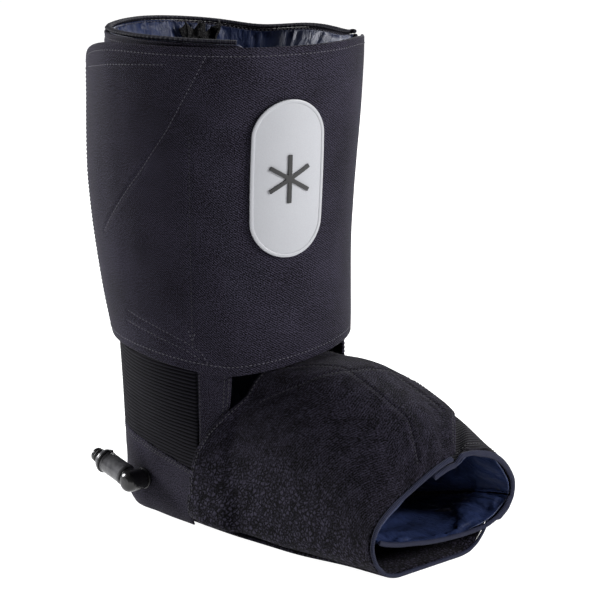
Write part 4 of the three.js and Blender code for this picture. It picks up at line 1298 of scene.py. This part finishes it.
class WRAP_OT_foot_lining(WrapOperator, bpy.types.Operator):
    """Water chambers round the foot, crinkled where they show at the toe opening"""

    bl_idname = "wrap.foot_lining"
    bl_label = "Foot chambers"

    def execute(self, context):
        end_x = FLAP_END_X + 0.6
        full = lambda x: 1.0 + (FOOT_CHAMBER - 1.0) * smooth((end_x - x) / 22)
        far_deep = lambda angle, x: far_dive(angle, x) + FABRIC + CLEAR
        panels = {
            "instep_chamber": ("instep", lambda x: angle_at(x, FAR_FLAP_EDGE - 4), fixed(194.0),
                               lambda angle, x: CHAMBER_OUT + 0 * x, 5, (110, 90)),
            "far_foot_chamber": ("far_wrap", fixed(-14.0), lambda x: angle_at(x, FAR_FLAP_EDGE + 2),
                                 far_deep, 5, (110, 90)),
            "foot_chamber_base": ("boot", fixed(198.0), fixed(342.0), fixed(CHAMBER_OUT), 8, (170, 80)),
        }
        for seed, (name, (body, start, end, outer, setback, cells)) in enumerate(panels.items()):

            def inner(angle, x, outer=outer, seed=seed):
                """Thin at the lip, with long folds that run in from it."""
                bulge = full(x)
                fold = np.sin(np.radians(angle) * 9 + 2.4 * np.sin(x * 0.06 + seed) + seed)
                fold += 0.5 * np.sin(np.radians(angle) * 23 + 1.7 * np.sin(x * 0.1 + 2 * seed))
                return outer(angle, x) + bulge + 0.9 * fold * smooth((end_x - x) / 6) * smooth(bulge - 1)

            place = foot_panel(start, end, outer, inner, setback, end_x, tube=name != "instep_chamber")
            made = cloth_piece(name, body, "lining", place, cells, 2.0)
            inflate(made)
        return {"FINISHED"}


class WRAP_OT_lips(WrapOperator, bpy.types.Operator):
    """Tapes round the toe opening"""

    bl_idname = "wrap.lips"
    bl_label = "Toe tapes"

    def execute(self, context):
        x = TOE_X - BINDING
        tape = lambda points: 0.12 * crumple(points, 5, 12)
        place = lip(float(tab_angle(TOE_X)) + 1, FLAP_FOOT, fixed(-0.3), fixed(FABRIC + 0.3), x)
        cloth_piece("toe_binding_instep", "instep", "binding", place, (150, 8), BINDING, relief=tape)
        low = lambda a: far_dive(a, TOE_X) + lerp(CHAMBER_OUT + 1.2, FABRIC + 0.1, smooth((a - 62) / 12))
        foot = float(far_foot(TOE_X))
        high = lambda a: far_dive(a, TOE_X) - 0.3 + 2.8 * smooth((foot + 10 - a) / 10)
        place = lip(foot, float(far_edge(TOE_X)) - 1, high, low, x, tube=True)
        cloth_piece("toe_binding_far", "far_wrap", "binding", place, (150, 8), BINDING, relief=tape)
        half, middle, *_ = station(FLAP_END_X)

        def sole_lip(u, v, w):
            y = middle + lerp(-SOLE_TOE_NEAR, SOLE_TOE_FAR, u) * half
            height = sole_curl(x + 0 * y, y) + v * (FABRIC + 0.3)
            return np.stack([x + lerp(0, BINDING, w) + 0 * y, y, height], -1)

        cloth_piece("toe_binding_sole", "boot", "binding", sole_lip, (110, 8), BINDING, relief=tape)
        place = lip(198.0, 342.0, fixed(CHAMBER_OUT - 1.4), fixed(CHAMBER_OUT + 1.9), x - 0.2, tube=True)
        made = Sheet("toe_binding_base", place, (190, 8), 2.2, relief=tape).build(finishes()["binding"])
        settle(made, "boot", "binding")
        return {"FINISHED"}


class WRAP_OT_patches(WrapOperator, bpy.types.Operator):
    """Hook patches inside the two flaps"""

    bl_idname = "wrap.patches"
    bl_label = "Hook patches"

    def execute(self, context):
        face = lambda deg, z: -closure_standoff(deg, z) + LAID
        place, _ = leg_panel(CLOSURE_END + 3, -103.0, fixed(190.0), fixed(272.0), face,
                             lambda deg, z: face(deg, z) + HOOK)
        cloth_piece("closure_hook_patch", "closure", "hook", place, (40, 50), HOOK, (0.051, 0.082))

        def foot_patch(u, v, w):
            x = lerp(96.0, 146.0, v)
            angle = lerp(angle_at(x, 34.0), angle_at(x, 12.0), u)
            return foot_point(x, angle, FABRIC + lerp(LAID + HOOK, LAID, w))

        cloth_piece("instep_hook_patch", "instep", "hook", foot_patch, (24, 50), HOOK, (0.022, 0.05))
        return {"FINISHED"}


# ---------------------------------------------------------------- moulded pieces
def put_away(made, name, placement, finish, angle=40):
    """Names a modelled piece, puts its place in its mesh and smooths it."""
    bpy.ops.object.mode_set(mode="OBJECT")
    made.name = made.data.name = name
    made.data.transform(placement)
    made.matrix_world = Matrix.Identity(4)
    tidy_normals(made)
    made.data.materials.clear()
    made.data.materials.append(finish)
    bpy.ops.object.select_all(action="DESELECT")
    made.select_set(True)
    bpy.context.view_layer.objects.active = made
    bpy.ops.object.shade_smooth_by_angle(angle=math.radians(angle))
    return made


def fitted(made, name, placement, body, slot, node, angle=40):
    """Finishes a modelled piece and fits it in place of its CAD node."""
    settle(put_away(made, name, placement, finishes()[slot], angle), body, slot, node)


def turn_piece(profile, sides=64):
    """A turned solid about Z: a circle drawn out step by step through (radius, height) in millimetres."""
    (radius, height), *rest = profile
    made = added(bpy.ops.mesh.primitive_circle_add, vertices=sides, radius=radius * MM, fill_type="NOTHING")
    bpy.ops.object.mode_set(mode="EDIT")
    bpy.ops.mesh.select_all(action="SELECT")
    bpy.ops.transform.translate(value=(0, 0, height * MM))
    for next_radius, next_height in rest:
        move = (0, 0, (next_height - height) * MM)
        bpy.ops.mesh.extrude_region_move(TRANSFORM_OT_translate={"value": move})
        share = next_radius / radius
        bpy.ops.transform.resize(value=(share, share, 1), center_override=(0, 0, next_height * MM))
        radius, height = next_radius, next_height
    bpy.ops.mesh.select_all(action="SELECT")
    bpy.ops.mesh.remove_doubles(threshold=1e-6)
    bpy.ops.object.mode_set(mode="OBJECT")
    fill_ends(made)
    return made


def fill_ends(made):
    """Closes the open ends of a turned solid with small fans."""
    bpy.ops.object.mode_set(mode="EDIT")
    bpy.ops.mesh.select_all(action="DESELECT")
    bpy.ops.mesh.select_mode(type="EDGE")
    bpy.ops.mesh.select_non_manifold()
    if made.data.total_edge_sel:
        bpy.ops.mesh.edge_face_add()
    bpy.ops.object.mode_set(mode="OBJECT")


def ring_profile(low, high, inner, outer, soft):
    """Outline of a ring with softened edges, which comes back to its start."""
    return [
        (inner, low), (outer - soft, low), (outer - soft * 0.3, low + soft * 0.3), (outer, low + soft),
        (outer, high - soft), (outer - soft * 0.3, high - soft * 0.3), (outer - soft, high), (inner, high),
        (inner, low),
    ]


def softened(made, width, segments=3, angle=30):
    modifier = made.modifiers.new("soft", "BEVEL")
    modifier.width = width * MM
    modifier.segments = segments
    modifier.limit_method = "ANGLE"
    modifier.angle_limit = math.radians(angle)
    bpy.context.view_layer.objects.active = made
    bpy.ops.object.modifier_apply(modifier=modifier.name)


def joined(first, others, operation="UNION"):
    for other in others:
        modifier = first.modifiers.new("join", "BOOLEAN")
        modifier.operation = operation
        modifier.solver = "EXACT"
        modifier.object = other
        bpy.context.view_layer.objects.active = first
        bpy.ops.object.modifier_apply(modifier=modifier.name)
        discard(other)
    return first


def remoulded(made, voxel, rounds):
    """Blends the joints of a solid, as a mould does."""
    bpy.ops.object.select_all(action="DESELECT")
    made.select_set(True)
    bpy.context.view_layer.objects.active = made
    made.data.remesh_voxel_size = voxel * MM
    bpy.ops.object.voxel_remesh()
    modifier = made.modifiers.new("blend", "SMOOTH")
    modifier.factor = 0.5
    modifier.iterations = rounds
    bpy.ops.object.modifier_apply(modifier=modifier.name)
    return made


PORT_DEG = 268.0
PORT_Z = 23.0
STEM_DEG = 164.0
SPIGOT_RADIUS = 3.4
RUNNING = 0.3
ELBOW_RADIUS = 6.8
ELBOW_LENGTH = 15.5
STEM_HEIGHT = 6.9
STEM_LENGTH = 31.0
STEM_RADIUS = 5.1
SLEEVE_RADIUS = 7.2
SLEEVE_START = 7.4
NOZZLE_RADIUS = 4.6
NOZZLE_LENGTH = 7.0
NOZZLE_BORE = 2.1
WASHER_LOW = HEEL_RADIUS + 1.8
WASHER = 1.6
ELBOW_LOW = WASHER_LOW + WASHER + 0.3


def port_matrix():
    """Z runs out of the heel along the port's axis and Y is up."""
    out = Vector((math.cos(math.radians(PORT_DEG)), math.sin(math.radians(PORT_DEG)), 0))
    up = Vector((0, 0, 1))
    turn = Matrix((up.cross(out), up, out)).transposed().to_4x4()
    return Matrix.Translation((HEEL_X * MM, 0, PORT_Z * MM)) @ turn


def stem_matrix():
    """Z runs along the stem from the elbow's axis to the nozzle."""
    out = Vector((math.cos(math.radians(STEM_DEG)), math.sin(math.radians(STEM_DEG)), 0))
    side = -Vector((0, 0, 1)).cross(out)
    turn = Matrix((side, Vector((0, 0, -1)), out)).transposed().to_4x4()
    return Matrix.Translation((0, 0, (ELBOW_LOW + STEM_HEIGHT) * MM)) @ turn


class WRAP_OT_coupling(WrapOperator, bpy.types.Operator):
    """Hose coupling: washer, elbow, sleeve, clip, nozzle and ring"""

    bl_idname = "wrap.coupling"
    bl_label = "Hose coupling"

    def execute(self, context):
        look = finishes()
        port, stem = port_matrix(), port_matrix() @ stem_matrix()
        washer = turn_piece(ring_profile(WASHER_LOW, WASHER_LOW + WASHER, SPIGOT_RADIUS + RUNNING,
                                         ELBOW_RADIUS + RUNNING, 0.5))
        fitted(washer, "coupling_washer", port, "boot", "black_plastic", "port_washer")

        r, low = ELBOW_RADIUS, ELBOW_LOW
        body = turn_piece([(r - 0.8, low), (r - 0.2, low + 0.2), (r, low + 0.9), (r, low + ELBOW_LENGTH - 5),
                           (r * 0.95, low + ELBOW_LENGTH - 3), (r * 0.84, low + ELBOW_LENGTH - 1.6),
                           (r * 0.6, low + ELBOW_LENGTH - 0.5), (r * 0.25, low + ELBOW_LENGTH)])
        arm = turn_piece([(STEM_RADIUS, 0), (STEM_RADIUS, STEM_LENGTH)])
        arm.data.transform(stem_matrix())
        collar = turn_piece([(r - 0.5, -1), (r - 0.5, SLEEVE_START - 1), (r - 1.1, SLEEVE_START - 0.3)])
        collar.data.transform(stem_matrix())
        elbow = remoulded(joined(body, [collar, arm]), 0.32, 6)
        passage = turn_piece([(SPIGOT_RADIUS + RUNNING, low - 1), (SPIGOT_RADIUS + RUNNING, low + STEM_HEIGHT - 2.2)])
        bore = turn_piece([(3.9, STEM_LENGTH - 15), (3.9, STEM_LENGTH + 1)])
        bore.data.transform(stem_matrix())
        joined(elbow, [passage, bore], "DIFFERENCE")
        fitted(elbow, "coupling_elbow", port, "coupling", "black_plastic", "elbow_body")

        end = STEM_LENGTH - 0.2
        groove = end - 4.4
        r, inner = SLEEVE_RADIUS, STEM_RADIUS + RUNNING
        sleeve = turn_piece([
            (inner, SLEEVE_START), (r - 0.7, SLEEVE_START), (r - 0.2, SLEEVE_START + 0.2), (r, SLEEVE_START + 0.7),
            (r, SLEEVE_START + 1.6), (r - 0.25, SLEEVE_START + 1.9), (r - 0.25, groove - 1.0), (r, groove - 0.7),
            (r, groove), (r - 0.8, groove), (r - 0.8, groove + 1.8), (r, groove + 1.8), (r, end - 0.9),
            (r - 0.3, end - 0.3), (r - 0.9, end), (inner, end), (inner, SLEEVE_START),
        ])
        fitted(sleeve, "coupling_sleeve", stem, "coupling", "grey_plastic", "stem_sleeve", 30)

        clip = spring_clip(r - 0.62, r + 0.9, groove + 0.2, groove + 1.6)
        fitted(clip, "coupling_clip", stem, "coupling", "black_plastic", "retaining_clip")

        low = STEM_LENGTH + 0.3
        top = low + NOZZLE_LENGTH
        at = low + 3.4
        r = NOZZLE_RADIUS
        nozzle = turn_piece([
            (NOZZLE_BORE, STEM_LENGTH - 4), (3.75, STEM_LENGTH - 4), (3.75, low), (r - 0.3, low), (r, low + 0.3),
            (r, at - 1.0), (r - 0.25, at - 0.75), (r - 0.8, at - 0.7), (r - 0.8, at + 0.7), (r - 0.25, at + 0.75),
            (r, at + 1.0), (r, top - 1.1), (r - 0.2, top - 0.5), (r - 0.6, top), (NOZZLE_BORE + 0.4, top),
            (NOZZLE_BORE, top - 0.4), (NOZZLE_BORE, STEM_LENGTH - 4),
        ])
        fitted(nozzle, "coupling_nozzle", stem, "coupling", "black_plastic", "nozzle", 30)
        ring = added(bpy.ops.mesh.primitive_torus_add, major_segments=64, minor_segments=14,
                     major_radius=(r - 0.25) * MM, minor_radius=0.5 * MM)
        ring.data.transform(Matrix.Translation((0, 0, at * MM)))
        fitted(ring, "coupling_nozzle_ring", stem, "coupling", "seal", "nozzle_o_ring")
        for node, slot in (("port_spigot", "black_plastic"), ("swivel_o_ring", "seal"),
                           ("valve_spring", "spring_steel"), ("valve_poppet", "grey_plastic")):
            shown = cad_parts[node]
            shown.data.materials.clear()
            shown.data.materials.append(look[slot])
        return {"FINISHED"}


def spring_clip(inner, outer, low, high):
    """A ring open over a sixth of a turn: a section spun round the stem."""
    middle = (inner + outer) / 2
    made = added(bpy.ops.mesh.primitive_plane_add, size=1)
    section = Matrix.Translation((middle * MM, 0, (low + high) / 2 * MM)) @ Matrix.Rotation(math.pi / 2, 4, "X")
    made.data.transform(section @ Matrix.Diagonal(((outer - inner) * MM, (high - low) * MM, 1, 1)))
    made.data.transform(Matrix.Rotation(math.radians(30), 4, "Z"))
    bpy.ops.object.mode_set(mode="EDIT")
    bpy.ops.mesh.select_all(action="SELECT")
    bpy.ops.mesh.spin(steps=56, angle=math.radians(300), center=(0, 0, 0), axis=(0, 0, 1), dupli=False)
    bpy.ops.mesh.select_all(action="SELECT")
    bpy.ops.mesh.remove_doubles(threshold=1e-7)
    bpy.ops.object.mode_set(mode="OBJECT")
    fill_ends(made)
    tidy_normals(made)
    softened(made, 0.25)
    return made


def badge_point(across, up, out):
    z = BADGE_Z + up
    radius = shell_radius(BADGE_DEG, z) - closure_outer(BADGE_DEG, z) + LAID
    deg = BADGE_DEG + np.degrees(across / radius)
    return leg_point(deg, z, closure_outer(deg, z) - LAID - out)


def on_badge(made):
    """Bends a flat piece, made in X and Y with its height in Z, round the flap."""
    flat = np.array([v.co for v in made.data.vertices]) / MM
    bent = badge_point(flat[:, 0], flat[:, 1], flat[:, 2]) * MM
    made.data.vertices.foreach_set("co", bent.astype(np.float32).ravel())
    made.data.update()


class WRAP_OT_badge(WrapOperator, bpy.types.Operator):
    """Badge plate with a raised rim, and a snowflake of six bars on it"""

    bl_idname = "wrap.badge"
    bl_label = "Badge"

    def execute(self, context):
        plate = badge_plate(context.scene.wrap_sizes.badge_rim / MM)
        on_badge(plate)
        fitted(plate, "badge_plate_shaped", Matrix.Identity(4), "closure", "badge_silver", "badge_plate", 35)
        flake = snowflake()
        on_badge(flake)
        fitted(flake, "badge_snowflake", Matrix.Identity(4), "closure", "badge_black", "badge_symbol", 50)
        return {"FINISHED"}


def badge_plate(rim):
    """A stadium drawn up and inwards ring by ring, with a raised rim."""
    made = added(bpy.ops.mesh.primitive_circle_add, vertices=112, radius=1, fill_type="NOTHING")
    round_end = BADGE_WIDTH / 2
    straight = (BADGE_HEIGHT - BADGE_WIDTH) / 2
    face = BADGE_THICK - 0.45
    steps = [
        (round_end - 0.02, 0), (16, 0), (8, 0), (0.5, 0), (0.1, 0.12), (0, 0.5), (0, BADGE_THICK - 0.55),
        (0.15, BADGE_THICK - 0.18), (0.55, BADGE_THICK), (rim, BADGE_THICK), (rim + 0.35, BADGE_THICK - 0.2),
        (rim + 0.55, face), (5, face), (9, face), (14, face), (19, face), (round_end - 0.02, face),
    ]
    turns = [math.atan2(v.co.y, v.co.x) for v in made.data.vertices]
    bpy.ops.object.mode_set(mode="EDIT")
    bpy.ops.mesh.select_all(action="SELECT")
    for number, (inset, height) in enumerate(steps):
        if number:
            bpy.ops.mesh.extrude_region_move()
        sheet = bmesh.from_edit_mesh(made.data)
        chosen = sorted((v for v in sheet.verts if v.select), key=lambda v: v.index)
        for vertex, turn in zip(chosen, turns):
            reach = round_end - inset
            up = reach * math.sin(turn) + straight * max(-1, min(1, math.sin(turn) / 0.18))
            vertex.co = (reach * math.cos(turn) * MM, up * MM, height * MM)
        bmesh.update_edit_mesh(made.data)
    bpy.ops.mesh.select_all(action="SELECT")
    bpy.ops.mesh.remove_doubles(threshold=0.05 * MM)
    bpy.ops.object.mode_set(mode="OBJECT")
    tidy_normals(made)
    return made


def snowflake():
    """Three bars crossed into six arms, moulded in one."""
    bars = []
    for turn in (0, 60, 120):
        bar = added(bpy.ops.mesh.primitive_cube_add, size=1)
        bar.data.transform(Matrix.Diagonal((*(side * MM for side in FLAKE_BAR), 1)))
        lifted = Matrix.Translation((0, 0, (BADGE_THICK + 0.1) * MM))
        bar.data.transform(Matrix.Rotation(math.radians(turn), 4, "Z") @ lifted)
        bars.append(bar)
    return remoulded(joined(bars[0], bars[1:]), 0.26, 3)


class WRAP_OT_stage(WrapOperator, bpy.types.Operator):
    """Pale floor, soft lights and the camera"""

    bl_idname = "wrap.stage"
    bl_label = "Stage"

    def execute(self, context):
        scene = context.scene
        floor = added(bpy.ops.mesh.primitive_plane_add, size=8)
        floor.data.transform(Matrix.Translation((0, 0, -0.0006)))
        floor.name = "studio_floor"
        floor.data.materials.append(floor_finish(scene.wrap_colours.floor[:]))
        world = bpy.data.worlds.new("studio")
        world.use_nodes = True
        nodes, links = world.node_tree.nodes, world.node_tree.links
        ambient = next(n for n in nodes if n.type == "BACKGROUND")
        ambient.inputs["Color"].default_value = (1.0, 1.0, 1.0, 1.0)
        ambient.inputs["Strength"].default_value = 0.04
        backdrop = nodes.new("ShaderNodeBackground")
        backdrop.inputs["Color"].default_value = (1.0, 1.0, 1.0, 1.0)
        seen = nodes.new("ShaderNodeLightPath")
        mix = nodes.new("ShaderNodeMixShader")
        links.new(seen.outputs["Is Camera Ray"], mix.inputs[0])
        links.new(ambient.outputs[0], mix.inputs[1])
        links.new(backdrop.outputs[0], mix.inputs[2])
        links.new(mix.outputs[0], next(n for n in nodes if n.type == "OUTPUT_WORLD").inputs["Surface"])
        scene.world = world
        scene.view_settings.view_transform = "Standard"
        lights = (
            ("right", (1.35, 0.55, 0.75), 0.7, 30, (1.0, 0.99, 0.98)),
            ("left", (-1.5, -0.5, 0.7), 0.7, 44, (0.98, 0.98, 1.0)),
            ("top", (0.1, 0.1, 1.8), 0.8, 6, (1.0, 1.0, 1.0)),
            ("back", (-0.5, 1.5, 1.0), 1.0, 24, (0.97, 0.98, 1.0)),
        )
        for name, place, size, power, tint in lights:
            light = added(bpy.ops.object.light_add, type="AREA", location=place)
            light.name = "light_" + name
            light.data.shape = "DISK"
            light.data.size = size
            light.data.energy = power
            light.data.color = tint
            light.visible_camera = False
            look_in(light)
        camera = added(bpy.ops.object.camera_add, location=(1.2457, -1.2588, 0.531))
        look_in(camera)
        camera.data.sensor_width = 36
        camera.data.lens = 170.4
        camera.data.shift_x = 0.0567
        camera.data.shift_y = -0.0233
        scene.camera = camera
        return {"FINISHED"}


def look_in(made):
    """Turns a light or the camera towards the middle of the wrap."""
    aim = WRAP_MIDDLE - made.location
    made.rotation_euler = aim.to_track_quat("-Z", "Y").to_euler()


class WRAP_PT_panel(bpy.types.Panel):
    bl_label = "Cold Compression Wrap"
    bl_idname = "WRAP_PT_panel"
    bl_space_type = "VIEW_3D"
    bl_region_type = "UI"
    bl_category = "Wrap"

    def draw(self, context):
        layout = self.layout
        for group in (context.scene.wrap_sizes, context.scene.wrap_colours):
            for key in group.__annotations__:
                layout.prop(group, key)
        for operator in OPERATORS:
            layout.operator(operator.bl_idname)


OPERATORS = (
    WRAP_OT_leg,
    WRAP_OT_leg_lining,
    WRAP_OT_rim,
    WRAP_OT_heel,
    WRAP_OT_foot,
    WRAP_OT_foot_lining,
    WRAP_OT_lips,
    WRAP_OT_patches,
    WRAP_OT_badge,
    WRAP_OT_coupling,
    WRAP_OT_stage,
)
CLASSES = (WRAP_PG_sizes, WRAP_PG_colours, *OPERATORS, WRAP_PT_panel)


def register():
    for cls in CLASSES:
        bpy.utils.register_class(cls)
    bpy.types.Scene.wrap_sizes = bpy.props.PointerProperty(type=WRAP_PG_sizes)
    bpy.types.Scene.wrap_colours = bpy.props.PointerProperty(type=WRAP_PG_colours)


def unregister():
    del bpy.types.Scene.wrap_colours
    del bpy.types.Scene.wrap_sizes
    for cls in reversed(CLASSES):
        bpy.utils.unregister_class(cls)


def main():
    register()
    bpy.context.scene.unit_settings.system = "METRIC"
    for operator in OPERATORS:
        group, name = operator.bl_idname.split(".")
        getattr(getattr(bpy.ops, group), name)()
    bpy.context.scene.frame_set(1)


if __name__ == "__main__":
    main()
